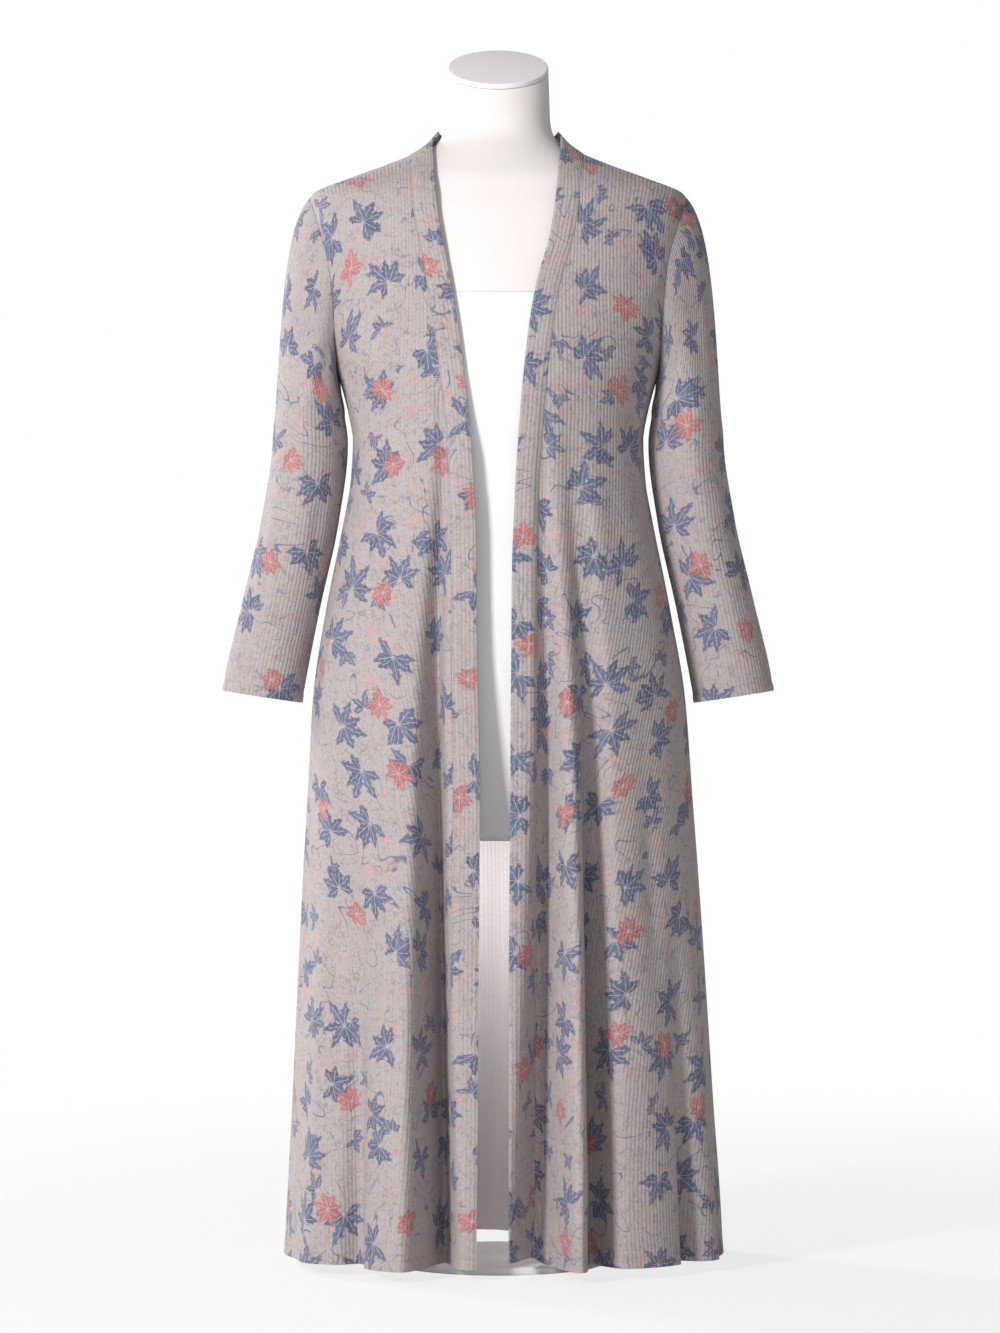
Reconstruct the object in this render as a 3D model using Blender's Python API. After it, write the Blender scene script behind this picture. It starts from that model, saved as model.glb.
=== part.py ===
"""A duster cardigan that hangs open on a limbless dress form.

Metres, +Z up. The front faces -Y and the wearer's left is +X. The origin is the centre of the base's underside.
The cloth follows one surface, body(), which is given by a turn in degrees round from the centre front, positive
to the wearer's left, and a height. Each panel is a grid of turns and heights, made a wall.
"""

import math

import bpy
import numpy as np

# Main sizes
CLOTH = 0.0015
BAND_CLOTH = 0.0025
SEAM_GAP = 0.0003
HEM = 0.0125
UNDERARM = 0.945
SHOULDER_TIP = 1.134
NECK_POINT = 1.180
BACK_NECK_DROP = 0.008
ARMHOLE_FRONT = 0.066
ARMHOLE_BACK = 0.068
SQUARENESS = 2.3

# The body of the cardigan, a level section for each row
BODY_COLUMNS = ("height", "half_width", "front", "back", "shift")
BODY = (
    (0.000, 0.2325, 0.165, 0.184, 0.006),
    (0.066, 0.2290, 0.163, 0.179, 0.006),
    (0.170, 0.2225, 0.159, 0.170, 0.005),
    (0.280, 0.2165, 0.155, 0.161, 0.004),
    (0.385, 0.2105, 0.150, 0.152, 0.003),
    (0.500, 0.2030, 0.143, 0.142, 0.002),
    (0.600, 0.1965, 0.135, 0.132, 0.001),
    (0.700, 0.1805, 0.125, 0.119, 0.000),
    (0.790, 0.1625, 0.118, 0.107, 0.000),
    (0.830, 0.1555, 0.117, 0.103, 0.000),
    (0.875, 0.1530, 0.119, 0.102, 0.000),
    (0.900, 0.1570, 0.122, 0.104, 0.000),
    (0.945, 0.1690, 0.129, 0.108, 0.000),
    (1.000, 0.1860, 0.130, 0.112, 0.000),
    (1.050, 0.1970, 0.125, 0.111, 0.000),
    (1.100, 0.2030, 0.114, 0.106, 0.000),
    (1.125, 0.2010, 0.107, 0.101, 0.000),
    (1.134, 0.1970, 0.103, 0.098, 0.000),
    (1.150, 0.1600, 0.094, 0.089, 0.000),
    (1.165, 0.1190, 0.083, 0.081, 0.000),
    (1.180, 0.0850, 0.071, 0.073, 0.000),
    (1.195, 0.0680, 0.061, 0.066, 0.000),
    (1.205, 0.0622, 0.057, 0.061, 0.000),
    (1.230, 0.0600, 0.055, 0.059, 0.000),
)

# The free edges of the front bands, across from the centre
EDGE_COLUMNS = ("height", "left_edge", "right_edge")
EDGES = (
    (0.000, 0.0108, 0.0225),
    (0.300, 0.0112, 0.0200),
    (0.500, 0.0124, 0.0190),
    (0.640, 0.0135, 0.0220),
    (0.745, 0.0145, 0.0228),
    (0.790, 0.0164, 0.0236),
    (0.828, 0.0180, 0.0258),
    (0.870, 0.0208, 0.0284),
    (0.932, 0.0257, 0.0346),
    (0.994, 0.0328, 0.0424),
    (1.038, 0.0410, 0.0499),
    (1.080, 0.0530, 0.0580),
    (1.120, 0.0595, 0.0645),
    (1.160, 0.0635, 0.0675),
    (1.185, 0.0660, 0.0690),
    (1.230, 0.0660, 0.0690),
)
BAND_WIDTH_TOP = 0.025
BAND_WIDTH_HEM = 0.030
BAND_STAND = 0.023
BAND_STAND_FROM = 1.090
BAND_LIFT_LEFT = 0.030
BAND_LIFT_TURN = 12.0

# Folds of the skirt, a row for each. A fold runs from its starting height to the hem, where it is deepest, and a
# larger growth keeps it shallow for longer. FOLD_RAMP is how much of the ease curve a fold has used at the hem.
FOLD_RAMP = 0.75
FOLD_COLUMNS = ("side", "top_turn", "hem_turn", "start", "top_width", "hem_width", "depth", "growth")
FOLDS = (
    (+1, 17.0, 8.6, 0.985, 0.006, 0.027, -0.060, 1.1),
    (+1, 24.0, 17.5, 0.960, 0.010, 0.020, 0.034, 0.9),
    (+1, 31.0, 24.0, 0.930, 0.008, 0.013, -0.026, 0.9),
    (+1, 36.0, 37.0, 0.900, 0.016, 0.045, 0.012, 1.0),
    (+1, 54.0, 53.0, 0.420, 0.012, 0.014, -0.022, 1.2),
    (+1, 64.0, 63.0, 0.600, 0.016, 0.022, 0.010, 1.2),
    (-1, 24.0, 17.4, 1.000, 0.006, 0.020, -0.058, 1.0),
    (-1, 33.0, 28.6, 0.960, 0.014, 0.036, 0.030, 0.9),
    (-1, 42.0, 40.0, 0.520, 0.010, 0.014, -0.022, 1.3),
    (-1, 56.0, 54.0, 0.700, 0.018, 0.026, 0.012, 1.2),
    (+1, 112.0, 108.0, 0.640, 0.016, 0.024, -0.016, 1.1),
    (+1, 128.0, 124.0, 0.820, 0.016, 0.026, 0.020, 1.1),
    (+1, 144.0, 141.0, 0.760, 0.012, 0.018, -0.022, 1.1),
    (+1, 158.0, 158.0, 0.880, 0.014, 0.026, 0.020, 1.0),
    (+1, 173.0, 174.0, 0.720, 0.012, 0.018, -0.020, 1.2),
    (-1, 110.0, 112.0, 0.760, 0.016, 0.026, -0.015, 1.1),
    (-1, 126.0, 130.0, 0.860, 0.016, 0.028, 0.019, 1.1),
    (-1, 142.0, 147.0, 0.700, 0.012, 0.020, -0.024, 1.1),
    (-1, 160.0, 164.0, 0.800, 0.014, 0.022, 0.018, 1.0),
)

# The sleeves below the armhole, a level ring for each row
SLEEVE_COLUMNS = ("height", "centre", "half_width", "half_depth")
SLEEVE = (
    (0.602, 0.2510, 0.0423, 0.0420),
    (0.620, 0.2480, 0.0423, 0.0420),
    (0.705, 0.2297, 0.0410, 0.0440),
    (0.790, 0.2107, 0.0410, 0.0490),
    (0.875, 0.2000, 0.0400, 0.0560),
    (0.900, 0.2005, 0.0372, 0.0580),
)
SLEEVE_TOP_RING = 0.900
CUFF = 0.602
CUFF_TILT = 0.0065

# How strongly the sleeve's cap leaves the armhole and arrives at its first level ring, as parts of their distance
LEAVE_OUTWARD = 0.40
LEAVE_DOWN_TOP = 0.35
LEAVE_DOWN_UNDER = 0.85
ARRIVE_OUTWARD = 0.08
ARRIVE_DOWN = 0.95

# How many cells each grid has
SKIRT_ROWS = 14
YOKE_ROWS = 10
FRONT_CELLS = 26
HALF_BACK_CELLS = 18
NECK_CELLS = 8
BAND_CELLS = 2
CAP_RINGS = 6
SLEEVE_RINGS = 8
FRONT_CROWDING = 1.25
FINE = 240

# The dress form, a level section for each row
FORM = (
    (0.451, 0.1400, 0.080, 0.088, 0.000),
    (0.456, 0.1520, 0.092, 0.100, 0.000),
    (0.475, 0.1590, 0.099, 0.108, 0.000),
    (0.540, 0.1660, 0.106, 0.117, 0.000),
    (0.620, 0.1660, 0.108, 0.118, 0.000),
    (0.700, 0.1540, 0.104, 0.107, 0.000),
    (0.790, 0.1330, 0.098, 0.091, 0.000),
    (0.840, 0.1330, 0.100, 0.090, 0.000),
    (0.900, 0.1460, 0.114, 0.096, 0.000),
    (0.945, 0.1560, 0.124, 0.103, 0.000),
    (1.000, 0.1690, 0.1255, 0.1075, 0.000),
    (1.050, 0.1785, 0.1200, 0.1055, 0.000),
    (1.090, 0.1840, 0.1105, 0.1005, 0.000),
    (1.115, 0.1825, 0.1035, 0.0955, 0.000),
    (1.130, 0.1725, 0.0975, 0.0920, 0.000),
    (1.148, 0.1530, 0.0900, 0.0845, 0.000),
    (1.163, 0.1150, 0.0790, 0.0765, 0.000),
    (1.178, 0.0805, 0.0670, 0.0685, 0.000),
    (1.193, 0.0625, 0.0560, 0.0600, 0.000),
    (1.205, 0.0570, 0.0520, 0.0560, 0.000),
    (1.225, 0.0540, 0.0515, 0.0545, 0.000),
)
FORM_FOOT = 0.451
FORM_JOINT = 1.023
FORM_SIDES = 30
FORM_BODY_RINGS = (0.451, 0.456, 0.475, 0.54, 0.62, 0.7, 0.79, 0.84, 0.9, 0.945, 1.0, FORM_JOINT)
FORM_NECK_RINGS = (1.05, 1.075, 1.098, 1.115, 1.13, 1.14, 1.15, 1.158, 1.166, 1.174, 1.182, 1.19, 1.2, 1.215)
NECK_RADIUS = 0.0535
NECK_TOP = 1.2665
NECK_SWELL = 0.002
CAP_THICKNESS = 0.006
CAP_EDGE = 0.0015
CAP_TILT = math.radians(27.0)
POLE_RADIUS = 0.0080
POLE_ACROSS = 0.045
BASE_RADIUS = 0.115
BASE_THICKNESS = 0.008
BASE_EDGE = 0.002
COLLAR_RADIUS = 0.016
COLLAR_HEIGHT = 0.024
ROUND_SIDES = 40


def clear_scene():
    for thing in list(bpy.data.objects):
        bpy.data.objects.remove(thing)


def column(rows, columns, name):
    return np.array([row[columns.index(name)] for row in rows])


def through(x, xs, ys):
    """A smooth curve through the points, which rises and falls only where they do."""
    x = np.clip(x, xs[0], xs[-1])
    step = np.diff(xs)
    rise = np.diff(ys) / step
    slope = np.zeros(len(ys))
    slope[0], slope[-1] = rise[0], rise[-1]
    turns = rise[:-1] * rise[1:] <= 0
    before = np.where(turns, 1.0, rise[:-1])
    after = np.where(turns, 1.0, rise[1:])
    near, far = 2 * step[1:] + step[:-1], step[1:] + 2 * step[:-1]
    slope[1:-1] = np.where(turns, 0.0, (near + far) / (near / before + far / after))
    k = np.clip(np.searchsorted(xs, x) - 1, 0, len(xs) - 2)
    t = (x - xs[k]) / step[k]
    flat = ys[k] * (1 + 2 * t) * (1 - t) ** 2 + ys[k + 1] * t * t * (3 - 2 * t)
    return flat + step[k] * (slope[k] * t * (1 - t) ** 2 - slope[k + 1] * t * t * (1 - t))


def ease(t):
    t = np.clip(t, 0.0, 1.0)
    return t * t * (3 - 2 * t)


def section_value(table, name, height):
    return through(height, column(table, BODY_COLUMNS, "height"), column(table, BODY_COLUMNS, name))


def section(table, turn, height):
    """Points of a level section, and the level directions that point straight out of it."""
    side, forward = np.sin(np.radians(turn)), np.cos(np.radians(turn))
    size = (abs(side) ** SQUARENESS + abs(forward) ** SQUARENESS) ** (1 / SQUARENESS)
    half_width = section_value(table, "half_width", height)
    front, back = section_value(table, "front", height), section_value(table, "back", height)
    depth = np.where(forward > 0, front, back)
    across, along = side / size, -forward / size
    out_x = np.sign(across) * abs(across) ** (SQUARENESS - 1) / half_width
    out_y = np.sign(along) * abs(along) ** (SQUARENESS - 1) / depth
    length = np.hypot(out_x, out_y)
    x = across * half_width + section_value(table, "shift", height)
    return x, along * depth, out_x / length, out_y / length


def fold_depth(turn, height, radius):
    """How far the folds push the cloth out of the plain section."""
    total = 0.0
    for row in FOLDS:
        fold = dict(zip(FOLD_COLUMNS, row))
        down = np.clip((fold["start"] - height) / (fold["start"] - HEM), 0.0, 1.0)
        middle = fold["top_turn"] + (fold["hem_turn"] - fold["top_turn"]) * down
        width = fold["top_width"] + (fold["hem_width"] - fold["top_width"]) * down
        aside = np.radians((turn * fold["side"] - middle + 180) % 360 - 180) * radius / width
        grown = ease(down ** fold["growth"] * FOLD_RAMP) / ease(FOLD_RAMP)
        total = total + fold["depth"] * grown * np.exp(-aside * aside)
    return total


def body(turn, height):
    x, y, out_x, out_y = section(BODY, turn, height)
    push = fold_depth(turn, height, np.hypot(x, y))
    return np.stack(np.broadcast_arrays(x + out_x * push, y + out_y * push, height), axis=-1)


def unit(vectors):
    return vectors / np.linalg.norm(vectors, axis=-1, keepdims=True)


def body_normal(turn, height):
    small_turn, small_height = 0.1, 0.0005
    along = body(turn + small_turn, height) - body(turn - small_turn, height)
    up = body(turn, height + small_height) - body(turn, height - small_height)
    return unit(np.cross(along, up))


def turn_at(across, height):
    """The turn, on the front, of a place so far from the middle of its section."""
    part = np.clip(across / section_value(BODY, "half_width", height), 0.0, 1.0)
    return np.degrees(np.arctan2(part, (1 - part ** SQUARENESS) ** (1 / SQUARENESS)))


def edge_across(side, height):
    name = "left_edge" if side > 0 else "right_edge"
    edge = through(height, column(EDGES, EDGE_COLUMNS, "height"), column(EDGES, EDGE_COLUMNS, name))
    return edge - side * section_value(BODY, "shift", height)


def seam_turn(side, height):
    width = BAND_WIDTH_HEM + (BAND_WIDTH_TOP - BAND_WIDTH_HEM) * ease(height / UNDERARM)
    return turn_at(edge_across(side, height) + width, height)


def evenly(curve, start, end, count):
    """Values from start to end whose points on the curve are evenly spaced along it."""
    values = np.linspace(start, end, FINE)
    steps = np.linalg.norm(np.diff(curve(values), axis=0), axis=1)
    length = np.concatenate([[0.0], np.cumsum(steps)])
    return np.interp(np.linspace(0, length[-1], count + 1), length, values)


def armhole(angle, back):
    """Turns and heights along an armhole: 0 is the shoulder tip and 180 the underarm."""
    middle, half = (SHOULDER_TIP + UNDERARM) / 2, (SHOULDER_TIP - UNDERARM) / 2
    height = middle + half * np.cos(np.radians(angle))
    reach = (ARMHOLE_BACK if back else ARMHOLE_FRONT) * np.sin(np.radians(angle))
    along = reach / section_value(BODY, "back" if back else "front", height)
    across = (1 - np.clip(along, 0, 1) ** SQUARENESS) ** (1 / SQUARENESS)
    turn = np.degrees(np.arctan2(across, along))
    return (180 - turn if back else turn), height


def armhole_angles(back):
    """From the underarm up to the shoulder tip."""
    return evenly(lambda a: body(*armhole(a, back)), 180.0, 0.0, YOKE_ROWS)


def patch(start_side, end_side, bottom, top):
    """Turns and heights over a Coons patch between four edges of the body. Rows go up and columns go across."""
    start_side, end_side, bottom, top = (body(e[:, 0], e[:, 1]) for e in (start_side, end_side, bottom, top))
    v = np.linspace(0, 1, len(start_side))[:, None, None]
    t = np.linspace(0, 1, len(bottom))[None, :, None]
    across = (1 - t) * start_side[:, None] + t * end_side[:, None]
    upward = (1 - v) * bottom[None] + v * top[None]
    corners = (1 - v) * ((1 - t) * bottom[0] + t * bottom[-1]) + v * ((1 - t) * top[0] + t * top[-1])
    x, y, height = np.moveaxis(across + upward - corners, -1, 0)
    depth = np.where(y < 0, section_value(BODY, "front", height), section_value(BODY, "back", height))
    part = (x - section_value(BODY, "shift", height)) / section_value(BODY, "half_width", height)
    return pairs(np.degrees(np.arctan2(np.maximum(part, 0), -y / depth)), height)


def pairs(turn, height):
    return np.stack(np.broadcast_arrays(turn, height), axis=-1)


def hem_height(side, turn):
    """The hem hangs level but for the wearer's left band, which is drawn up and back."""
    if side < 0:
        return np.full_like(turn, HEM)
    return HEM + BAND_LIFT_LEFT * (1 - ease(turn / BAND_LIFT_TURN))


def front_seam_heights(side):
    return evenly(lambda h: body(side * seam_turn(side, h), h), UNDERARM, NECK_POINT, YOKE_ROWS)


def front_grid(side):
    """Turns and heights of a front panel, from the band seam to the side seam and from the hem to the shoulder."""
    t = np.linspace(0, 1, FRONT_CELLS + 1) ** FRONT_CROWDING
    seam = seam_turn(side, HEM)
    hem = hem_height(side, seam + (90 - seam) * t)
    rise = np.linspace(0, 1, SKIRT_ROWS + 1)[:, None]
    height = hem + (UNDERARM - hem) * rise
    start = seam_turn(side, height)
    skirt = pairs(start + (90 - start) * t, height)
    seam_heights = front_seam_heights(side)
    seam_side = pairs(seam_turn(side, seam_heights), seam_heights)
    seam_side[-1, 0] = 90.0
    arm_side = np.stack(armhole(armhole_angles(False), False), axis=-1)
    shoulder = pairs(90.0, NECK_POINT + (SHOULDER_TIP - NECK_POINT) * np.linspace(0, 1, FRONT_CELLS + 1))
    yoke = patch(seam_side, arm_side, skirt[-1], shoulder)
    yoke[-1] = shoulder
    return np.concatenate([skirt, yoke[1:]])


def back_neck(count):
    """Turns and heights of the back neck seam, from the centre back to the neck point."""
    turn = np.linspace(180.0, 90.0, count + 1)
    return pairs(turn, NECK_POINT - BACK_NECK_DROP * ease((turn - 90) / 90))


def half_back_grid():
    """Turns and heights of half the back, from the centre back to the side seam."""
    t = np.linspace(0, 1, HALF_BACK_CELLS + 1)
    height = HEM + (UNDERARM - HEM) * np.linspace(0, 1, SKIRT_ROWS + 1)[:, None]
    skirt = pairs(180 - 90 * t, height)
    neck = back_neck(NECK_CELLS)
    slope = np.linspace(0, 1, HALF_BACK_CELLS - NECK_CELLS + 1)[1:]
    shoulder = pairs(90.0, NECK_POINT + (SHOULDER_TIP - NECK_POINT) * slope)
    top = np.concatenate([neck, shoulder])
    centre_heights = np.linspace(UNDERARM, neck[0, 1], YOKE_ROWS + 1)
    arm_side = np.stack(armhole(armhole_angles(True), True), axis=-1)
    yoke = patch(pairs(180.0, centre_heights), arm_side, skirt[-1], top)
    yoke[-1] = top
    yoke[:, 0, 0] = 180.0
    return np.concatenate([skirt, yoke[1:]])


def band_grid(side):
    """Turns and heights of a front band, from its free edge to the seam."""
    hem = hem_height(side, seam_turn(side, HEM))
    rise = np.linspace(0, 1, SKIRT_ROWS + 1)
    seam_height = np.concatenate([hem + (UNDERARM - hem) * rise, front_seam_heights(side)[1:]])
    stand = BAND_STAND * ease((seam_height - BAND_STAND_FROM) / (NECK_POINT - BAND_STAND_FROM))
    edge_height = seam_height + stand
    seam = seam_turn(side, seam_height)
    edge = turn_at(edge_across(side, edge_height), edge_height)
    seam[-1] = edge[-1] = 90.0
    w = np.linspace(0, 1, BAND_CELLS + 1)[None, :, None]
    return (1 - w) * pairs(edge, edge_height)[:, None] + w * pairs(seam, seam_height)[:, None]


def draw_in(grid, amount, edges):
    """Moves the named edges of a grid of points inwards, which leaves the gap at a seam."""
    grid = grid.copy()
    for edge in edges:
        rim, inner = {
            "start": (np.s_[:, 0], np.s_[:, 1]),
            "end": (np.s_[:, -1], np.s_[:, -2]),
            "bottom": (np.s_[0], np.s_[1]),
            "top": (np.s_[-1], np.s_[-2]),
        }[edge]
        grid[rim] += unit(grid[inner] - grid[rim]) * amount
    return grid


def wall_mesh(name, inner, outer, closed):
    """A closed wall between two grids of points. A closed grid is a tube, which joins its last column to its first."""
    rows, columns = inner.shape[:2]
    count = rows * columns
    points = np.concatenate([inner.reshape(-1, 3), outer.reshape(-1, 3)])
    faces = []

    def quad(a, b, c, d):
        faces.append((a, b, c))
        faces.append((a, c, d))

    spans = columns if closed else columns - 1
    for i in range(rows - 1):
        for j in range(spans):
            k = (j + 1) % columns
            a, b, c, d = i * columns + j, i * columns + k, (i + 1) * columns + k, (i + 1) * columns + j
            quad(count + a, count + b, count + c, count + d)
            quad(d, c, b, a)
    for j in range(spans):
        k = (j + 1) % columns
        last = (rows - 1) * columns
        quad(j, k, count + k, count + j)
        quad(count + last + j, count + last + k, last + k, last + j)
    if not closed:
        for i in range(rows - 1):
            a, b = i * columns, (i + 1) * columns
            quad(a, count + a, count + b, b)
            c, d = a + columns - 1, b + columns - 1
            quad(d, count + d, count + c, c)
    return add_mesh(name, points, faces)


def add_mesh(name, points, faces):
    mesh = bpy.data.meshes.new(name)
    mesh.from_pydata([tuple(p) for p in points], [], faces)
    mesh.update()
    thing = bpy.data.objects.new(name, mesh)
    bpy.context.collection.objects.link(thing)
    return thing


def outwards(thing):
    """Turns the faces round where the mesh came out inside out."""
    mesh = thing.data
    volume = 0.0
    for face in mesh.polygons:
        a, b, c = (mesh.vertices[i].co for i in face.vertices)
        volume += a.dot(b.cross(c))
    if volume < 0:
        mesh.flip_normals()
    return thing


def finish(thing, material):
    thing.data.materials.append(material)
    thing.data.shade_smooth()
    return outwards(thing)


def surface_wall(name, side, grid, thickness, edges, material):
    turn, height = side * grid[..., 0], grid[..., 1]
    inner = draw_in(body(turn, height), SEAM_GAP / 2, edges)
    outer = inner + body_normal(turn, height) * thickness
    return finish(wall_mesh(name, inner, outer, False), material)


def make_back(material):
    half = half_back_grid()
    left, right = half * 1.0, half * 1.0
    right[..., 0] = 360 - right[..., 0]
    whole = np.concatenate([left[:, ::-1], right[:, 1:]], axis=1)
    return surface_wall("back", +1, whole, CLOTH, ("start", "end", "top"), material)


def make_neck_band(material):
    half = back_neck(NECK_CELLS)
    other = half[::-1] * 1.0
    other[:, 0] = 360 - other[:, 0]
    seam = np.concatenate([half[::-1], other[::-1][1:]])
    w = np.linspace(1, 0, BAND_CELLS + 1)[None, :, None]
    grid = seam[:, None] + np.array([0.0, BAND_STAND]) * w
    return surface_wall("band_neck", +1, grid, BAND_CLOTH, ("bottom", "top", "end"), material)


def sleeve_ring(angle, height, tilt):
    rows = column(SLEEVE, SLEEVE_COLUMNS, "height")
    centre = through(height, rows, column(SLEEVE, SLEEVE_COLUMNS, "centre"))
    half_width = through(height, rows, column(SLEEVE, SLEEVE_COLUMNS, "half_width"))
    half_depth = through(height, rows, column(SLEEVE, SLEEVE_COLUMNS, "half_depth"))
    outwards_part, forwards = np.cos(angle), -np.sin(angle)
    rise = height + tilt * outwards_part
    return np.stack(np.broadcast_arrays(centre + half_width * outwards_part, half_depth * forwards, rise), axis=-1)


def make_sleeve(name, side, material):
    """A tube from the armhole, where it meets the panels edge to edge at the top and side by side under the arm."""
    front, back = armhole_angles(False)[::-1], armhole_angles(True)[1:-1]
    turn, height = (np.concatenate(both) for both in zip(armhole(front, False), armhole(back, True)))
    angle = np.radians(np.concatenate([front, 360 - back]))
    out = body_normal(turn, height)
    edge = body(turn, height) + out * CLOTH
    around = np.roll(edge, -1, axis=0) - np.roll(edge, 1, axis=0)
    away = unit(np.cross(around, out))
    middle = edge.mean(axis=0)
    away *= np.sign(((middle - edge) * away).sum(axis=1, keepdims=True))
    under = (1 - np.cos(angle[:, None])) / 2
    start = edge + SEAM_GAP * ((1 - under) * away + under * out)
    start_wall = -np.cos(angle[:, None]) * out + abs(np.sin(angle[:, None])) * away
    first = sleeve_ring(angle, SLEEVE_TOP_RING, 0.0)
    reach = np.linalg.norm(first - start, axis=1, keepdims=True)
    outward = np.array([1.0, 0.0, 0.0])
    down = np.array([0.0, 0.0, -1.0])
    leave_down = LEAVE_DOWN_TOP + (LEAVE_DOWN_UNDER - LEAVE_DOWN_TOP) * under
    leave = LEAVE_OUTWARD * (1 - under) * outward + leave_down * down
    arrive = ARRIVE_OUTWARD * outward + ARRIVE_DOWN * down
    rings = []
    for s in np.linspace(0, 1, CAP_RINGS + 1):
        rings.append(
            start * (1 + 2 * s) * (1 - s) ** 2
            + first * s * s * (3 - 2 * s)
            + reach * (leave * s * (1 - s) ** 2 - arrive * s * s * (1 - s))
        )
    for height in np.linspace(SLEEVE_TOP_RING, CUFF, SLEEVE_RINGS + 1)[1:]:
        tilt = CUFF_TILT * ease((SLEEVE_TOP_RING - height) / (SLEEVE_TOP_RING - CUFF))
        rings.append(sleeve_ring(angle, height, tilt))
    outer = np.stack(rings)
    along = np.gradient(outer, axis=0)
    round_it = np.roll(outer, -1, axis=1) - np.roll(outer, 1, axis=1)
    inwards = unit(np.cross(round_it, along))
    centres = outer.mean(axis=1, keepdims=True)
    inwards *= np.sign(((centres - outer) * inwards).sum(axis=-1, keepdims=True))
    inwards[0] = unit(start_wall)
    inwards[1] = unit(inwards[1] + 0.5 * inwards[0])
    inner = outer + inwards * CLOTH
    mirror = np.array([side, 1, 1])
    return finish(wall_mesh(name, inner * mirror, outer * mirror, True), material)


def loft(name, rings, material):
    """A solid through closed rings, bottom to top, with a fan over each end."""
    rings = [np.asarray(ring) for ring in rings]
    count = len(rings[0])
    points = np.concatenate(rings + [rings[0].mean(axis=0)[None], rings[-1].mean(axis=0)[None]])
    low, high = len(rings) * count, len(rings) * count + 1
    last = (len(rings) - 1) * count
    faces = []
    for j in range(count):
        k = (j + 1) % count
        faces.append((low, k, j))
        faces.append((high, last + j, last + k))
        for i in range(len(rings) - 1):
            a, b, c, d = i * count + j, i * count + k, (i + 1) * count + k, (i + 1) * count + j
            faces.append((a, b, c))
            faces.append((a, c, d))
    return finish(add_mesh(name, points, faces), material)


def form_ring(height):
    turn = np.arange(FORM_SIDES) * 360 / FORM_SIDES
    x, y, _, _ = section(FORM, turn, height)
    return np.stack([x, y, np.full(FORM_SIDES, height)], axis=-1)


def tilted_ring(radius, above):
    """A ring on the plane of the cap, which leans forward, and so far above it."""
    turn = np.radians(np.arange(FORM_SIDES) * 360 / FORM_SIDES)
    flat_x, flat_y = radius * np.sin(turn), -radius * np.cos(turn)
    lean_y, lean_z = math.cos(CAP_TILT), math.sin(CAP_TILT)
    y = flat_y * lean_y - above * lean_z
    z = NECK_TOP + flat_y * lean_z + above * lean_y
    return np.stack([flat_x, y, z], axis=-1)


def make_form(material, cap_material):
    loft("form_body", [form_ring(height) for height in FORM_BODY_RINGS], material)
    rings = [form_ring(FORM_JOINT + SEAM_GAP)] + [form_ring(height) for height in FORM_NECK_RINGS]
    top = tilted_ring(NECK_RADIUS, 0.0)
    rings.append((rings[-1] + top) / 2 + np.array([0.0, 0.0, NECK_SWELL]))
    rings.append(top)
    loft("form_neck", rings, material)
    cap = [
        tilted_ring(NECK_RADIUS - CAP_EDGE, SEAM_GAP),
        tilted_ring(NECK_RADIUS, SEAM_GAP + CAP_EDGE),
        tilted_ring(NECK_RADIUS, SEAM_GAP + CAP_THICKNESS - CAP_EDGE),
        tilted_ring(NECK_RADIUS - CAP_EDGE, SEAM_GAP + CAP_THICKNESS),
    ]
    loft("neck_cap", cap, cap_material)


def round_stack(name, profile, material):
    """A solid through level round rings, from (radius, height, across) rows, bottom to top."""
    turn = np.radians(np.arange(ROUND_SIDES) * 360 / ROUND_SIDES)
    circle = np.stack([np.cos(turn), np.sin(turn), np.zeros(ROUND_SIDES)], axis=-1)
    rings = [circle * radius + np.array([across, 0.0, height]) for radius, height, across in profile]
    return loft(name, rings, material)


def make_stand(material):
    """A round plate, with a collar and a pole off its middle, where the wearer's left front hides them."""
    bottom, top = COLLAR_HEIGHT + SEAM_GAP, FORM_FOOT - SEAM_GAP
    round_stack("pole", [(POLE_RADIUS, bottom, POLE_ACROSS), (POLE_RADIUS, top, POLE_ACROSS)], material)
    profile = [
        (BASE_RADIUS - BASE_EDGE, 0.0, 0.0),
        (BASE_RADIUS, BASE_EDGE, 0.0),
        (BASE_RADIUS, BASE_THICKNESS - BASE_EDGE, 0.0),
        (BASE_RADIUS - BASE_EDGE, BASE_THICKNESS, 0.0),
        (COLLAR_RADIUS + BASE_EDGE, BASE_THICKNESS + BASE_EDGE, POLE_ACROSS),
        (COLLAR_RADIUS, BASE_THICKNESS + 2 * BASE_EDGE, POLE_ACROSS),
        (COLLAR_RADIUS, COLLAR_HEIGHT - BASE_EDGE, POLE_ACROSS),
        (COLLAR_RADIUS - BASE_EDGE, COLLAR_HEIGHT, POLE_ACROSS),
    ]
    round_stack("base", profile, material)


def material_of(name, colour, roughness, metallic):
    material = bpy.data.materials.new(name)
    material.use_nodes = True
    shader = material.node_tree.nodes["Principled BSDF"]
    shader.inputs["Base Color"].default_value = (*colour, 1.0)
    shader.inputs["Roughness"].default_value = roughness
    shader.inputs["Metallic"].default_value = metallic
    return material


def make_cardigan():
    knit = material_of("printed_knit", (0.42, 0.38, 0.36), 0.85, 0.0)
    make_back(knit)
    for side, word in ((+1, "left"), (-1, "right")):
        edges = ("start", "end", "top")
        surface_wall("front_" + word, side, front_grid(side), CLOTH, edges, knit)
        surface_wall("band_" + word, side, band_grid(side), BAND_CLOTH, ("end", "top"), knit)
        make_sleeve("sleeve_" + word, side, knit)
    make_neck_band(knit)


clear_scene()
make_cardigan()
make_form(
    material_of("white_form", (0.86, 0.84, 0.83), 0.5, 0.0),
    material_of("neck_cap", (0.80, 0.75, 0.74), 0.45, 0.0),
)
make_stand(material_of("white_metal", (0.80, 0.80, 0.80), 0.35, 0.0))
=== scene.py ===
import math

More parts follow.
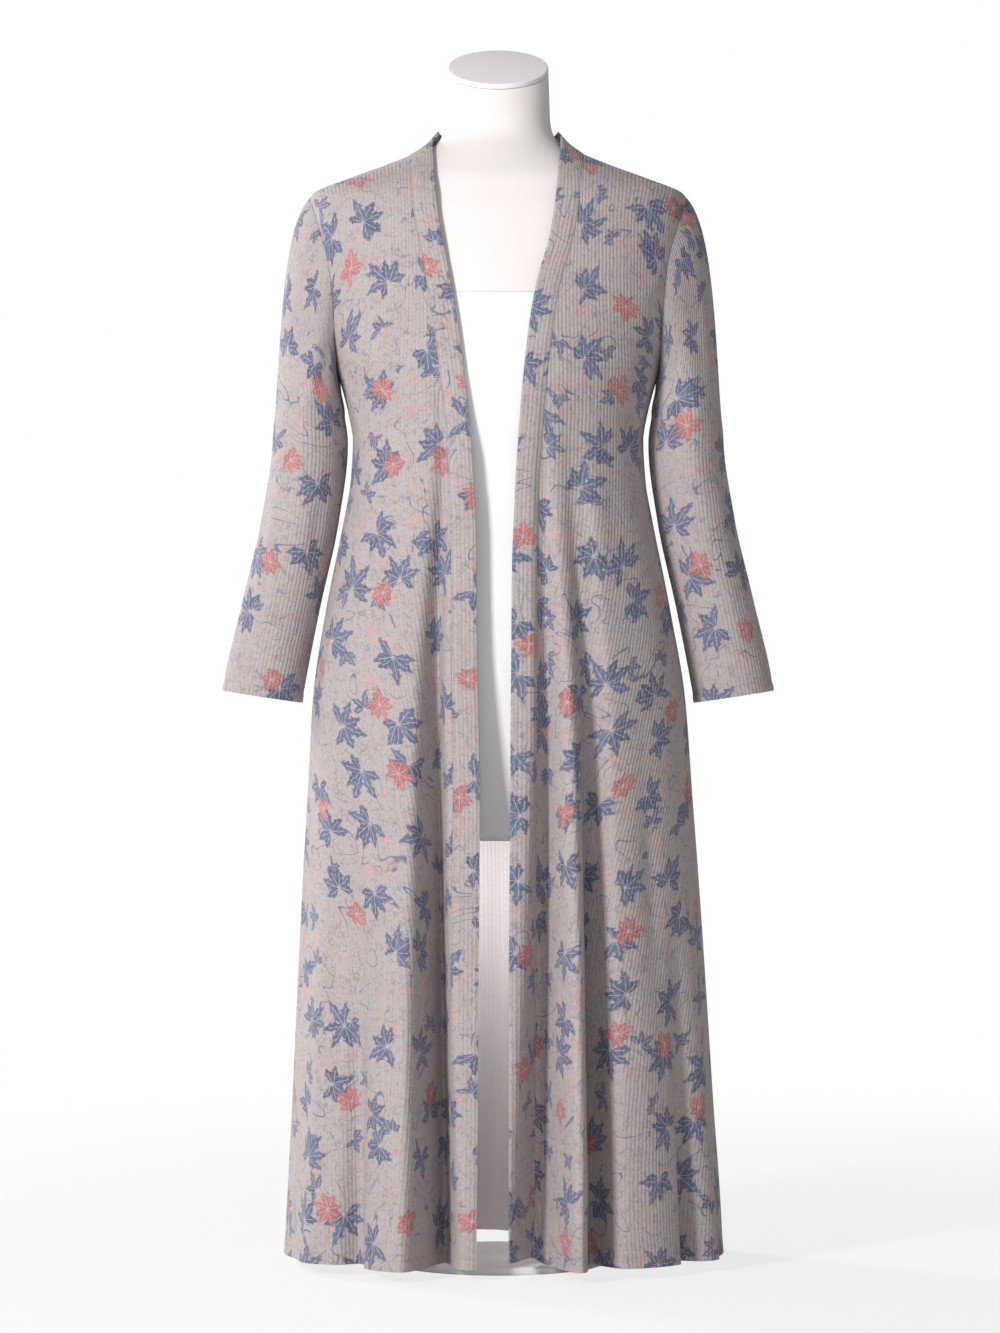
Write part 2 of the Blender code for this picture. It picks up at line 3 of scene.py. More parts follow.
import bpy
import numpy as np
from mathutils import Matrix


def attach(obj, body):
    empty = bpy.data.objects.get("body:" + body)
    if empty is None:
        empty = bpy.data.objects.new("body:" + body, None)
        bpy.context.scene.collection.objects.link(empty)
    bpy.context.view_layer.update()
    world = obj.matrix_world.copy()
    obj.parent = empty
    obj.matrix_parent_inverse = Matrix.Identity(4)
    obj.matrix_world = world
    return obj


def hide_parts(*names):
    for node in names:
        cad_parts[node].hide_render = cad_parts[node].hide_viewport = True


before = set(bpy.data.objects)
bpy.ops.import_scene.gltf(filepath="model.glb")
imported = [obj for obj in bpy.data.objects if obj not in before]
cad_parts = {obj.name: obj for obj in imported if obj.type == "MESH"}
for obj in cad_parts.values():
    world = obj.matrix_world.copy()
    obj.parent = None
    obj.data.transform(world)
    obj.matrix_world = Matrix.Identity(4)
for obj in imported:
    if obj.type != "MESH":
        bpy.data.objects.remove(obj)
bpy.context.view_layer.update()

# The studio: a white floor that fades into a white backdrop, with one soft lamp from the wearer's right, a
# weak one beside the camera, one behind, and a small one inside the skirt for the wrong side of the back. The
# camera stands far off, level with the middle of the garment, so that the hem curves as it does in the photo.

PAPER_WHITE = (0.80, 0.80, 0.80, 1.0)
CAMERA_PLACE = (0.002, -5.0, 0.634)
CAMERA_LENS = 126.8
SENSOR_HEIGHT = 36.0
FLOOR_REACH = 30.0
FLOOR_FADE = (0.6, 2.2)
FLOOR_GLOW = 0.75
FLOOR_ROUGHNESS = 0.9
LAMP_COLUMNS = ("name", "place", "aim", "size", "power")
LAMPS = (
    ("key", (-2.5, -3.3, 2.1), (0.0, 0.0, 0.70), 0.7, 146.0),
    ("fill", (-0.1, -4.7, 0.75), (0.0, 0.0, 0.5), 0.35, 16.0),
    ("rear", (-2.8, 2.6, 2.0), (0.0, 0.0, 0.7), 0.8, 105.0),
    ("inner", (-0.120, -0.020, 0.415), (0.0, 0.17, 0.34), 0.07, 0.56),
)
SKY_STRENGTH = 0.32


def look_at(thing, place, aim):
    thing.location = place
    way = [a - p for a, p in zip(aim, place)]
    level = math.hypot(way[0], way[1])
    thing.rotation_euler = (math.pi / 2 + math.atan2(way[2], level), 0.0, math.atan2(-way[0], way[1]))


def add_object(name, data):
    thing = bpy.data.objects.new(name, data)
    bpy.context.scene.collection.objects.link(thing)
    return thing


camera_data = bpy.data.cameras.new("camera")
camera_data.sensor_fit = "VERTICAL"
camera_data.sensor_height = SENSOR_HEIGHT
camera_data.lens = CAMERA_LENS
camera = add_object("camera", camera_data)
look_at(camera, CAMERA_PLACE, (CAMERA_PLACE[0], 0.0, CAMERA_PLACE[2]))
bpy.context.scene.camera = camera

for values in LAMPS:
    row = dict(zip(LAMP_COLUMNS, values))
    lamp_data = bpy.data.lights.new(row["name"], "AREA")
    lamp_data.size = row["size"]
    lamp_data.energy = row["power"]
    lamp = add_object(row["name"], lamp_data)
    lamp.visible_camera = False
    look_at(lamp, row["place"], row["aim"])

world = bpy.data.worlds.new("studio")
world.use_nodes = True
sky_nodes, sky_links = world.node_tree.nodes, world.node_tree.links
sky_nodes["Background"].inputs["Color"].default_value = (1.0, 1.0, 1.0, 1.0)
sky_seen = sky_nodes.new("ShaderNodeMapRange")
sky_seen.inputs["To Min"].default_value = SKY_STRENGTH
sky_links.new(sky_nodes.new("ShaderNodeLightPath").outputs["Is Camera Ray"], sky_seen.inputs["Value"])
sky_links.new(sky_seen.outputs["Result"], sky_nodes["Background"].inputs["Strength"])
bpy.context.scene.world = world
bpy.context.scene.view_settings.view_transform = "Standard"

floor_mesh = bpy.data.meshes.new("floor")
corner = FLOOR_REACH / 2
corners = [(-corner, -corner, 0), (corner, -corner, 0), (corner, corner, 0), (-corner, corner, 0)]
floor_mesh.from_pydata(corners, [], [(0, 1, 2, 3)])
floor = add_object("floor", floor_mesh)
paper = bpy.data.materials.new("paper")
paper.use_nodes = True
paper.node_tree.nodes["Principled BSDF"].inputs["Base Color"].default_value = PAPER_WHITE
paper_nodes, paper_links = paper.node_tree.nodes, paper.node_tree.links
paper_nodes["Principled BSDF"].inputs["Roughness"].default_value = FLOOR_ROUGHNESS
far_off = paper_nodes.new("ShaderNodeVectorMath")
far_off.operation = "LENGTH"
paper_links.new(paper_nodes.new("ShaderNodeTexCoord").outputs["Object"], far_off.inputs[0])
fade = paper_nodes.new("ShaderNodeMapRange")
fade.interpolation_type = "SMOOTHSTEP"
fade.inputs["From Min"].default_value = FLOOR_FADE[0]
fade.inputs["From Max"].default_value = FLOOR_FADE[1]
fade.inputs["To Min"].default_value = FLOOR_GLOW
paper_links.new(far_off.outputs["Value"], fade.inputs["Value"])
seen = paper_nodes.new("ShaderNodeMath")
seen.operation = "MULTIPLY"
paper_links.new(fade.outputs["Result"], seen.inputs[0])
paper_links.new(paper_nodes.new("ShaderNodeLightPath").outputs["Is Camera Ray"], seen.inputs[1])
bright = paper_nodes.new("ShaderNodeEmission")
blended = paper_nodes.new("ShaderNodeMixShader")
paper_links.new(seen.outputs[0], blended.inputs[0])
paper_links.new(paper_nodes["Principled BSDF"].outputs["BSDF"], blended.inputs[1])
paper_links.new(bright.outputs["Emission"], blended.inputs[2])
paper_links.new(blended.outputs["Shader"], paper_nodes["Material Output"].inputs["Surface"])
floor_mesh.materials.append(paper)

# The dress form: a hollow moulded torso in smooth matt white, cut off level at the hips, with a separate
# chest and neck piece and a flat cap that leans forward. Torso and neck are stacks of level sections, and the
# cap is a stack of tilted rings.

SQUARENESS = 2.3
SECTION_COLUMNS = ("height", "half_width", "front", "back", "shift")
FORM = (
    (0.451, 0.1400, 0.080, 0.088, 0.000),
    (0.456, 0.1520, 0.092, 0.100, 0.000),
    (0.475, 0.1590, 0.099, 0.108, 0.000),
    (0.540, 0.1660, 0.106, 0.117, 0.000),
    (0.620, 0.1660, 0.108, 0.118, 0.000),
    (0.700, 0.1540, 0.104, 0.107, 0.000),
    (0.790, 0.1330, 0.098, 0.091, 0.000),
    (0.840, 0.1330, 0.100, 0.090, 0.000),
    (0.900, 0.1460, 0.114, 0.096, 0.000),
    (0.945, 0.1560, 0.124, 0.103, 0.000),
    (1.000, 0.1690, 0.1255, 0.1075, 0.000),
    (1.050, 0.1785, 0.1200, 0.1055, 0.000),
    (1.090, 0.1840, 0.1105, 0.1005, 0.000),
    (1.115, 0.1825, 0.1035, 0.0955, 0.000),
    (1.130, 0.1725, 0.0975, 0.0920, 0.000),
    (1.148, 0.1530, 0.0900, 0.0845, 0.000),
    (1.163, 0.1150, 0.0790, 0.0765, 0.000),
    (1.178, 0.0805, 0.0670, 0.0685, 0.000),
    (1.193, 0.0625, 0.0560, 0.0600, 0.000),
    (1.205, 0.0570, 0.0520, 0.0560, 0.000),
    (1.225, 0.0540, 0.0515, 0.0545, 0.000),
)
FORM_FOOT = 0.451
FORM_JOINT = 1.023
FORM_GAP = 0.0003
NECK_LEVEL = 1.215
FORM_SIDES = 120
FORM_RINGS = 90
NECK_RINGS = 60
NECK_RADIUS = 0.0535
NECK_TOP = 1.2665
NECK_BLEND_RINGS = 16
NECK_BLEND_RISE = 0.008
CAP_THICKNESS = 0.006
CAP_EDGE = 0.0015
CAP_EDGE_STEPS = 6
CAP_TILT = math.radians(27.0)
FORM_WHITE = (0.87, 0.815, 0.805)
BODY_WHITE = (0.94, 0.935, 0.935)
CAP_GREY = (0.95, 0.885, 0.89)
CLOUDED_TONE = 0.975


def column(rows, columns, name):
    return np.array([row[columns.index(name)] for row in rows])


def through(x, xs, ys):
    """A smooth curve through the points, which rises and falls only where they do."""
    x = np.clip(x, xs[0], xs[-1])
    step = np.diff(xs)
    rise = np.diff(ys) / step
    slope = np.zeros(len(ys))
    slope[0], slope[-1] = rise[0], rise[-1]
    turns = rise[:-1] * rise[1:] <= 0
    before = np.where(turns, 1.0, rise[:-1])
    after = np.where(turns, 1.0, rise[1:])
    near, far = 2 * step[1:] + step[:-1], step[1:] + 2 * step[:-1]
    slope[1:-1] = np.where(turns, 0.0, (near + far) / (near / before + far / after))
    k = np.clip(np.searchsorted(xs, x) - 1, 0, len(xs) - 2)
    t = (x - xs[k]) / step[k]
    flat = ys[k] * (1 + 2 * t) * (1 - t) ** 2 + ys[k + 1] * t * t * (3 - 2 * t)
    return flat + step[k] * (slope[k] * t * (1 - t) ** 2 - slope[k + 1] * t * t * (1 - t))


def ease(t):
    t = np.clip(t, 0.0, 1.0)
    return t * t * (3 - 2 * t)


def section_value(table, name, height):
    return through(height, column(table, SECTION_COLUMNS, "height"), column(table, SECTION_COLUMNS, name))


def section(table, turn, height):
    """Points of a level section at turns from the centre front, and the directions straight out of it."""
    side, forward = np.sin(np.radians(turn)), np.cos(np.radians(turn))
    size = (abs(side) ** SQUARENESS + abs(forward) ** SQUARENESS) ** (1 / SQUARENESS)
    half_width = section_value(table, "half_width", height)
    front, back = section_value(table, "front", height), section_value(table, "back", height)
    depth = np.where(forward > 0, front, back)
    across, along = side / size, -forward / size
    out_x = np.sign(across) * abs(across) ** (SQUARENESS - 1) / half_width
    out_y = np.sign(along) * abs(along) ** (SQUARENESS - 1) / depth
    length = np.hypot(out_x, out_y)
    x = across * half_width + section_value(table, "shift", height)
    return x, along * depth, out_x / length, out_y / length


def new_material(name, colour, roughness):
    material = bpy.data.materials.new(name)
    material.use_nodes = True
    shader = material.node_tree.nodes["Principled BSDF"]
    shader.inputs["Base Color"].default_value = (*colour, 1.0)
    shader.inputs["Roughness"].default_value = roughness
    return material


class Tree:
    """Makes nodes in a tree, and links what it is given to their inputs."""

    def __init__(self, tree):
        self.tree = tree

    def put(self, socket, value):
        if isinstance(value, bpy.types.NodeSocket):
            self.tree.links.new(value, socket)
        elif value is not None:
            socket.default_value = value

    def node(self, kind, settings=None, **inputs):
        made = self.tree.nodes.new(kind)
        for name, value in (settings or {}).items():
            setattr(made, name, value)
        for name, value in inputs.items():
            self.put(made.inputs[name.replace("_", " ")], value)
        return made

    def maths(self, operation, a, b=None, c=None, clamp=False):
        made = self.tree.nodes.new("ShaderNodeMath")
        made.operation = operation
        made.use_clamp = clamp
        for socket, value in zip(made.inputs, (a, b, c)):
            self.put(socket, value)
        return made.outputs[0]

    def plus(self, a, b):
        return self.maths("ADD", a, b)

    def minus(self, a, b):
        return self.maths("SUBTRACT", a, b)

    def times(self, a, b):
        return self.maths("MULTIPLY", a, b)

    def vector(self, operation, a, b=None):
        made = self.tree.nodes.new("ShaderNodeVectorMath")
        made.operation = operation
        self.put(made.inputs[0], a)
        self.put(made.inputs[1], b)
        return made.outputs["Vector"]

    def scaled(self, vector, scale):
        made = self.tree.nodes.new("ShaderNodeVectorMath")
        made.operation = "SCALE"
        self.put(made.inputs[0], vector)
        self.put(made.inputs["Scale"], scale)
        return made.outputs["Vector"]

    def inside(self, limit, value, soft):
        """1 where the value is under the limit, with a soft edge."""
        return self.maths("DIVIDE", self.minus(limit, value), soft, clamp=True)

    def over(self, below, colour, mask):
        made = self.tree.nodes.new("ShaderNodeMix")
        made.data_type = "RGBA"
        self.put(made.inputs["Factor"], mask)
        self.put(made.inputs["A"], below)
        self.put(made.inputs["B"], colour if isinstance(colour, bpy.types.NodeSocket) else (*colour, 1.0))
        return made.outputs["Result"]


def new_group(name, inputs, outputs):
    group = bpy.data.node_groups.new(name, "ShaderNodeTree")
    for label, kind, value in inputs:
        socket = group.interface.new_socket(label, in_out="INPUT", socket_type="NodeSocket" + kind)
        if value is not None:
            socket.default_value = value
    for label in outputs:
        group.interface.new_socket(label, in_out="OUTPUT", socket_type="NodeSocketFloat")
    return group, Tree(group), group.nodes.new("NodeGroupInput"), group.nodes.new("NodeGroupOutput")


def moulded_group():
    """Smooth painted plastic: faint clouding of its tone and gloss, and a very low orange peel."""
    inputs = (("Place", "Vector", None), ("Cloud", "Float", 9.0), ("Peel", "Float", 260.0),
              ("Roughness", "Float", 0.5), ("Spread", "Float", 0.06))
    group, tree, given, result = new_group("moulded", inputs, ("Tone", "Roughness", "Peel"))
    ask = given.outputs
    cloud = tree.node("ShaderNodeTexNoise", Vector=ask["Place"], Scale=ask["Cloud"]).outputs["Fac"]
    spread = tree.times(ask["Spread"], tree.maths("MULTIPLY_ADD", cloud, 2.0, -1.0))
    peel = tree.node("ShaderNodeTexNoise", Vector=ask["Place"], Scale=ask["Peel"]).outputs["Fac"]
    tree.put(result.inputs["Tone"], cloud)
    tree.put(result.inputs["Roughness"], tree.plus(ask["Roughness"], spread))
    tree.put(result.inputs["Peel"], peel)
    return group


MOULDED = moulded_group()


def moulded(name, colour, roughness):
    material = new_material(name, colour, roughness)
    tree = Tree(material.node_tree)
    shader = material.node_tree.nodes["Principled BSDF"]
    place = tree.node("ShaderNodeTexCoord").outputs["Object"]
    finish = tree.node("ShaderNodeGroup", {"node_tree": MOULDED}, Place=place, Roughness=roughness).outputs
    duller = (*[c * CLOUDED_TONE for c in colour], 1.0)
    tree.put(shader.inputs["Base Color"], tree.over(duller, colour, finish["Tone"]))
    tree.put(shader.inputs["Roughness"], finish["Roughness"])
    bump = tree.node("ShaderNodeBump", Strength=0.12, Distance=0.0004, Height=finish["Peel"])
    tree.put(shader.inputs["Normal"], bump.outputs["Normal"])
    return material


def turn_outwards(mesh):
    mesh.calc_loop_triangles()
    points = np.array([v.co for v in mesh.vertices])
    corners = points[np.array([t.vertices for t in mesh.loop_triangles])]
    if np.linalg.det(corners).sum() < 0:
        mesh.flip_normals()


def stack(name, rings, material, node):
    """A closed skin over rings from bottom to top, which replaces a node of the model."""
    rings = np.asarray(rings)
    count, sides = rings.shape[:2]
    points = [tuple(p) for p in rings.reshape(-1, 3)]
    faces = [tuple(range(sides))[::-1], tuple(range((count - 1) * sides, count * sides))]
    for i in range(count - 1):
        for j in range(sides):
            k = (j + 1) % sides
            faces.append((i * sides + j, i * sides + k, (i + 1) * sides + k, (i + 1) * sides + j))
    mesh = bpy.data.meshes.new(name)
    mesh.from_pydata(points, [], faces)
    turn_outwards(mesh)
    mesh.shade_smooth()
    mesh.set_sharp_from_angle(angle=math.radians(35.0))
    mesh.materials.append(material)
    piece = add_object(name, mesh)
    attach(piece, "root")
    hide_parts(node)
    return piece


def form_ring(height):
    turn = np.arange(FORM_SIDES) * 360 / FORM_SIDES
    x, y, _, _ = section(FORM, turn, height)
    return np.stack([x, y, np.full(FORM_SIDES, height)], axis=-1)


def tilted_ring(radius, above):
    """A ring so far above the plane of the cap, which leans forward."""
    turn = np.radians(np.arange(FORM_SIDES) * 360 / FORM_SIDES)
    flat_x, flat_y = radius * np.sin(turn), -radius * np.cos(turn)
    y = flat_y * math.cos(CAP_TILT) - above * math.sin(CAP_TILT)
    z = NECK_TOP + flat_y * math.sin(CAP_TILT) + above * math.cos(CAP_TILT)
    return np.stack([flat_x, y, z], axis=-1)


body_rings = [form_ring(h) for h in np.linspace(FORM_FOOT, FORM_JOINT, FORM_RINGS)]
stack("torso", body_rings, moulded("torso_white", BODY_WHITE, 0.5), "form_body")

neck_rings = [form_ring(h) for h in np.linspace(FORM_JOINT + FORM_GAP, NECK_LEVEL, NECK_RINGS)]
low, high = neck_rings[-1], tilted_ring(NECK_RADIUS, 0.0)
for part in np.linspace(0, 1, NECK_BLEND_RINGS + 1)[1:]:
    neck_rings.append(low * (1 - part) + high * part + [0.0, 0.0, NECK_BLEND_RISE * part * (1 - part)])
stack("chest_and_neck", neck_rings, moulded("neck_white", FORM_WHITE, 0.5), "form_neck")

cap_rings = []
for edge, first, last in ((CAP_EDGE, 0.0, math.pi / 2), (CAP_THICKNESS - CAP_EDGE, math.pi / 2, math.pi)):
    for step in np.linspace(first, last, CAP_EDGE_STEPS):
        radius = NECK_RADIUS - CAP_EDGE * (1 - math.sin(step))
        cap_rings.append(tilted_ring(radius, FORM_GAP + edge - CAP_EDGE * math.cos(step)))
stack("cap", cap_rings, moulded("cap_grey", CAP_GREY, 0.42), "neck_cap")

# The stand: a slim steel pole that plugs into a collar on a low round plate, in satin white paint. The pole
# stands off the middle, where the wearer's left front hides it.

STAND_WHITE = (0.88, 0.88, 0.88)
POLE_RADIUS = 0.0080
POLE_ACROSS = 0.045
BASE_RADIUS = 0.115
BASE_THICKNESS = 0.008
BASE_EDGE = 0.002
COLLAR_RADIUS = 0.016
COLLAR_HEIGHT = 0.024
EDGE_STEPS = 5


def round_ring(radius, height, across):
    turn = np.radians(np.arange(FORM_SIDES) * 360 / FORM_SIDES)
    x, y = across + radius * np.cos(turn), radius * np.sin(turn)
    return np.stack([x, y, np.full(FORM_SIDES, height)], axis=-1)


def rounded_edge(radius, height, across, first, last):
    """Rings round a rolled edge, whose roll is centred so far in and so high."""
    return [round_ring(radius + BASE_EDGE * math.cos(step), height + BASE_EDGE * math.sin(step), across)
            for step in np.radians(np.linspace(first, last, EDGE_STEPS))]


paint = moulded("stand_paint", STAND_WHITE, 0.34)
pole_rings = [round_ring(POLE_RADIUS, height, POLE_ACROSS)
              for height in (COLLAR_HEIGHT + FORM_GAP, FORM_FOOT - FORM_GAP)]
stack("stand_pole", pole_rings, paint, "pole")
base_rings = rounded_edge(BASE_RADIUS - BASE_EDGE, BASE_EDGE, 0.0, -90, 0)
base_rings += rounded_edge(BASE_RADIUS - BASE_EDGE, BASE_THICKNESS - BASE_EDGE, 0.0, 0, 90)
foot = BASE_THICKNESS + 2 * BASE_EDGE
base_rings += [round_ring(COLLAR_RADIUS + part * BASE_EDGE, foot - (2 - part) * part * BASE_EDGE, POLE_ACROSS)
               for part in (1.0, 0.5, 0.0)]
base_rings += rounded_edge(COLLAR_RADIUS - BASE_EDGE, COLLAR_HEIGHT - BASE_EDGE, POLE_ACROSS, 0, 90)
stack("stand_base", base_rings, paint, "base")

# The knit: a soft jersey with a broken rib, heathered taupe on its face, with leaf clusters, flowers and vines
# printed on it, and plain on its wrong side. The rib's furrows and breaks are darkened with painted shade. Its
# patterns lie in metres on the cloth's own map.

TAUPE = (0.500, 0.450, 0.450)
TAUPE_DARK = (0.385, 0.340, 0.338)
LINE_BROWN = (0.230, 0.190, 0.195)
SLATE_BLUE = (0.088, 0.114, 0.205)
SLATE_LIGHT = (0.150, 0.178, 0.285)
CORAL = (0.430, 0.135, 0.125)
PEACH = (0.500, 0.280, 0.265)
SAGE = (0.300, 0.350, 0.290)
VEIN_PALE = (0.560, 0.480, 0.500)
WRONG_SIDE = (0.580, 0.530, 0.535)
# Painted shade colour for the rib's furrows and breaks.
PAINTED_GROOVE_SHADE = (0.200, 0.170, 0.172)
RIB_WIDTH = 0.0043
CELL_LENGTH = 0.0064
DASH_HALF_LENGTH = 0.20
DASH_SOFTNESS = 0.14
MOTIF_SCATTER = 0.62
LEAF_LEAN = 0.34
LEAF_BEND = 0.010
LEAF_TEETH = 3.6
INK_EDGE = 0.0005
VEIN_HALF_WIDTH = 0.00055
VEIN_SOFTNESS = 0.00035
VEIN_REACH = 0.72
SIDE_VEIN_SLANT = 0.0042
SIDE_VEIN_SHARE = 0.14
SIDE_VEIN_STRENGTH = 0.45
CENTRE_RADIUS = 0.0020
CENTRE_SOFTNESS = 0.0006


def motif_group():
    """Scattered motifs: toothed leaves or petals fanned out from a small centre, varied by chance."""
    inputs = (
        ("Place", "Vector", None), ("Spacing", "Float", 0.066), ("Length", "Float", 0.026),
        ("Width", "Float", 0.006), ("Leaves", "Float", 7.0), ("Fan", "Float", 5.0), ("Taper", "Float", 0.12),
        ("Teeth", "Float", 0.5), ("Keep", "Float", 0.8), ("Missing", "Float", 0.1), ("Seed", "Float", 0.0),
    )
    group, tree, given, result = new_group("motif", inputs, ("Leaf", "Vein", "Centre", "Shade"))
    ask = given.outputs
    seeds = tree.node("ShaderNodeCombineXYZ", X=ask["Seed"], Y=tree.times(ask["Seed"], 1.7)).outputs[0]
    place = tree.vector("ADD", tree.scaled(ask["Place"], tree.maths("DIVIDE", 1.0, ask["Spacing"])), seeds)
    cells = tree.node("ShaderNodeTexVoronoi", {"voronoi_dimensions": "2D"}, Vector=place, Scale=1.0,
                      Randomness=MOTIF_SCATTER)
    local = tree.scaled(tree.vector("SUBTRACT", place, cells.outputs["Position"]), ask["Spacing"])
    chance = tree.node("ShaderNodeSeparateColor", Color=cells.outputs["Color"]).outputs
    xy = tree.node("ShaderNodeSeparateXYZ", Vector=local).outputs
    reach = tree.maths("SQRT", tree.plus(tree.times(xy["X"], xy["X"]), tree.times(xy["Y"], xy["Y"])))
    angle = tree.maths("ARCTAN2", xy["Y"], xy["X"])
    whole = 2 * math.pi
    part = tree.plus(tree.maths("DIVIDE", angle, whole), tree.plus(chance["Red"], 1.0))
    part = tree.times(tree.maths("FRACT", part), ask["Leaves"])
    number = tree.maths("FLOOR", part)
    marks = tree.node("ShaderNodeCombineXYZ", X=number, Y=tree.times(chance["Green"], 91.0),
                      Z=tree.times(chance["Blue"], 57.0)).outputs[0]
    dice = tree.node("ShaderNodeTexWhiteNoise", {"noise_dimensions": "3D"}, Vector=marks).outputs["Color"]
    dice = tree.node("ShaderNodeSeparateColor", Color=dice).outputs
    lean = tree.times(tree.minus(dice["Green"], 0.5), LEAF_LEAN)
    aside = tree.plus(tree.minus(tree.maths("FRACT", part), 0.5), lean)
    aside = tree.maths("DIVIDE", tree.times(aside, whole), ask["Leaves"])
    middle = tree.times(tree.minus(ask["Fan"], 1.0), 0.5)
    off_middle = tree.maths("ABSOLUTE", tree.minus(number, middle))
    length = tree.times(ask["Length"], tree.maths("MULTIPLY_ADD", dice["Red"], 0.34, 0.68))
    length = tree.times(length, tree.maths("MULTIPLY_ADD", chance["Blue"], 0.3, 0.85))
    length = tree.times(length, tree.minus(1.0, tree.times(off_middle, ask["Taper"])))
    along = tree.maths("DIVIDE", tree.times(reach, tree.maths("COSINE", aside)), length, clamp=True)
    bend = tree.times(tree.minus(dice["Blue"], 0.5), LEAF_BEND)
    bend = tree.times(bend, tree.times(along, along))
    across = tree.maths("ABSOLUTE", tree.plus(tree.times(reach, tree.maths("SINE", aside)), bend))
    swell = tree.maths("SINE", tree.times(tree.maths("POWER", along, 0.85), math.pi))
    teeth = tree.minus(tree.maths("FRACT", tree.times(along, -LEAF_TEETH)), 0.5)
    teeth = tree.maths("MULTIPLY_ADD", teeth, ask["Teeth"], 1.0)
    half = tree.times(tree.times(ask["Width"], swell), teeth)
    leaf = tree.inside(half, across, INK_EDGE)
    kept = tree.maths("LESS_THAN", chance["Green"], ask["Keep"])
    grown = tree.maths("GREATER_THAN", dice["Red"], ask["Missing"])
    present = tree.times(grown, tree.maths("LESS_THAN", number, ask["Fan"]))
    leaf = tree.times(tree.times(leaf, kept), present)
    rib = tree.times(tree.inside(VEIN_HALF_WIDTH, across, VEIN_SOFTNESS),
                     tree.maths("LESS_THAN", along, VEIN_REACH))
    side_veins = tree.minus(tree.times(along, LEAF_TEETH), tree.maths("DIVIDE", across, SIDE_VEIN_SLANT))
    side_veins = tree.maths("LESS_THAN", tree.maths("FRACT", side_veins), SIDE_VEIN_SHARE)
    side_veins = tree.times(side_veins, SIDE_VEIN_STRENGTH)
    vein = tree.times(tree.maths("MAXIMUM", rib, side_veins), leaf)
    centre = tree.times(tree.inside(CENTRE_RADIUS, reach, CENTRE_SOFTNESS), kept)
    for label, value in (("Leaf", leaf), ("Vein", vein), ("Centre", centre), ("Shade", dice["Red"])):
        tree.put(result.inputs[label], value)
    return group


def vine_group():
    """Thin curling lines: the level lines of a soft noise, broken up by a second one."""
    inputs = (("Place", "Vector", None), ("Scale", "Float", 14.0), ("Thickness", "Float", 0.006),
              ("Keep", "Float", 0.5), ("Seed", "Float", 0.0))
    group, tree, given, result = new_group("vines", inputs, ("Line",))
    ask = given.outputs
    seeds = tree.node("ShaderNodeCombineXYZ", X=ask["Seed"], Y=ask["Seed"], Z=ask["Seed"]).outputs[0]
    place = tree.vector("ADD", ask["Place"], seeds)
    curl = tree.node("ShaderNodeTexNoise", Vector=place, Scale=ask["Scale"], Detail=1.2, Distortion=1.4)
    curl = curl.outputs["Fac"]
    off = tree.maths("ABSOLUTE", tree.minus(curl, 0.5))
    line = tree.inside(ask["Thickness"], off, tree.times(ask["Thickness"], 0.6))
    breaks = tree.node("ShaderNodeTexNoise", Vector=tree.vector("ADD", place, (4.0, 9.0, 2.0)),
                       Scale=tree.times(ask["Scale"], 1.6), Detail=0.0).outputs["Fac"]
    shown = tree.maths("LESS_THAN", breaks, ask["Keep"])
    tree.put(result.inputs["Line"], tree.times(line, shown))
    return group


def broken_rib_group():
    """Soft lengthwise ribs, every other one broken by short cross lines, and fine stitch grain, with a mask of
    painted shade for the furrows and breaks.
    """
    inputs = (("Place", "Vector", None), ("Rib", "Float", RIB_WIDTH), ("Cell", "Float", CELL_LENGTH),
              ("Broken", "Float", 0.80))
    group, tree, given, result = new_group("broken rib", inputs, ("Height", "Painted shade"))
    ask = given.outputs
    wander = tree.node("ShaderNodeTexNoise", Vector=ask["Place"], Scale=55.0, Detail=1.0).outputs["Color"]
    wander = tree.scaled(tree.vector("SUBTRACT", wander, (0.5, 0.5, 0.5)), 0.0016)
    xy = tree.node("ShaderNodeSeparateXYZ", Vector=tree.vector("ADD", ask["Place"], wander)).outputs
    across = tree.maths("DIVIDE", xy["X"], ask["Rib"])
    number = tree.maths("FLOOR", across)
    ridge = tree.maths("SINE", tree.times(tree.maths("FRACT", across), math.pi))
    furrow_shade = tree.maths("POWER", tree.minus(1.0, ridge), 1.6)
    start = tree.node("ShaderNodeTexWhiteNoise", {"noise_dimensions": "1D"}, W=number).outputs["Value"]
    down = tree.plus(tree.maths("DIVIDE", xy["Y"], ask["Cell"]), start)
    here = tree.node("ShaderNodeCombineXYZ", X=number, Y=tree.maths("FLOOR", down)).outputs[0]
    chance = tree.node("ShaderNodeTexWhiteNoise", {"noise_dimensions": "2D"}, Vector=here).outputs["Value"]
    from_break = tree.maths("ABSOLUTE", tree.minus(tree.maths("FRACT", down), 0.5))
    dash = tree.times(tree.inside(DASH_HALF_LENGTH, from_break, DASH_SOFTNESS),
                      tree.maths("LESS_THAN", chance, ask["Broken"]))
    dash = tree.times(dash, tree.maths("FLOORED_MODULO", number, 2.0))
    dash = tree.times(dash, ridge)
    stitch = tree.node("ShaderNodeTexNoise", Vector=ask["Place"], Scale=900.0, Detail=1.0).outputs["Fac"]
    puff = tree.node("ShaderNodeTexNoise", Vector=ask["Place"], Scale=170.0, Detail=1.0).outputs["Fac"]
    height = tree.maths("MULTIPLY_ADD", dash, -0.55, ridge)
    height = tree.maths("MULTIPLY_ADD", stitch, 0.30, height)
    height = tree.maths("MULTIPLY_ADD", puff, 0.9, height)
    tree.put(result.inputs["Height"], height)
    # Painted shade: the furrows between ribs and the cross breaks, as a mask that darkens the colour.
    tree.put(result.inputs["Painted shade"], tree.maths("MAXIMUM", tree.times(furrow_shade, 0.6), dash))
    return group


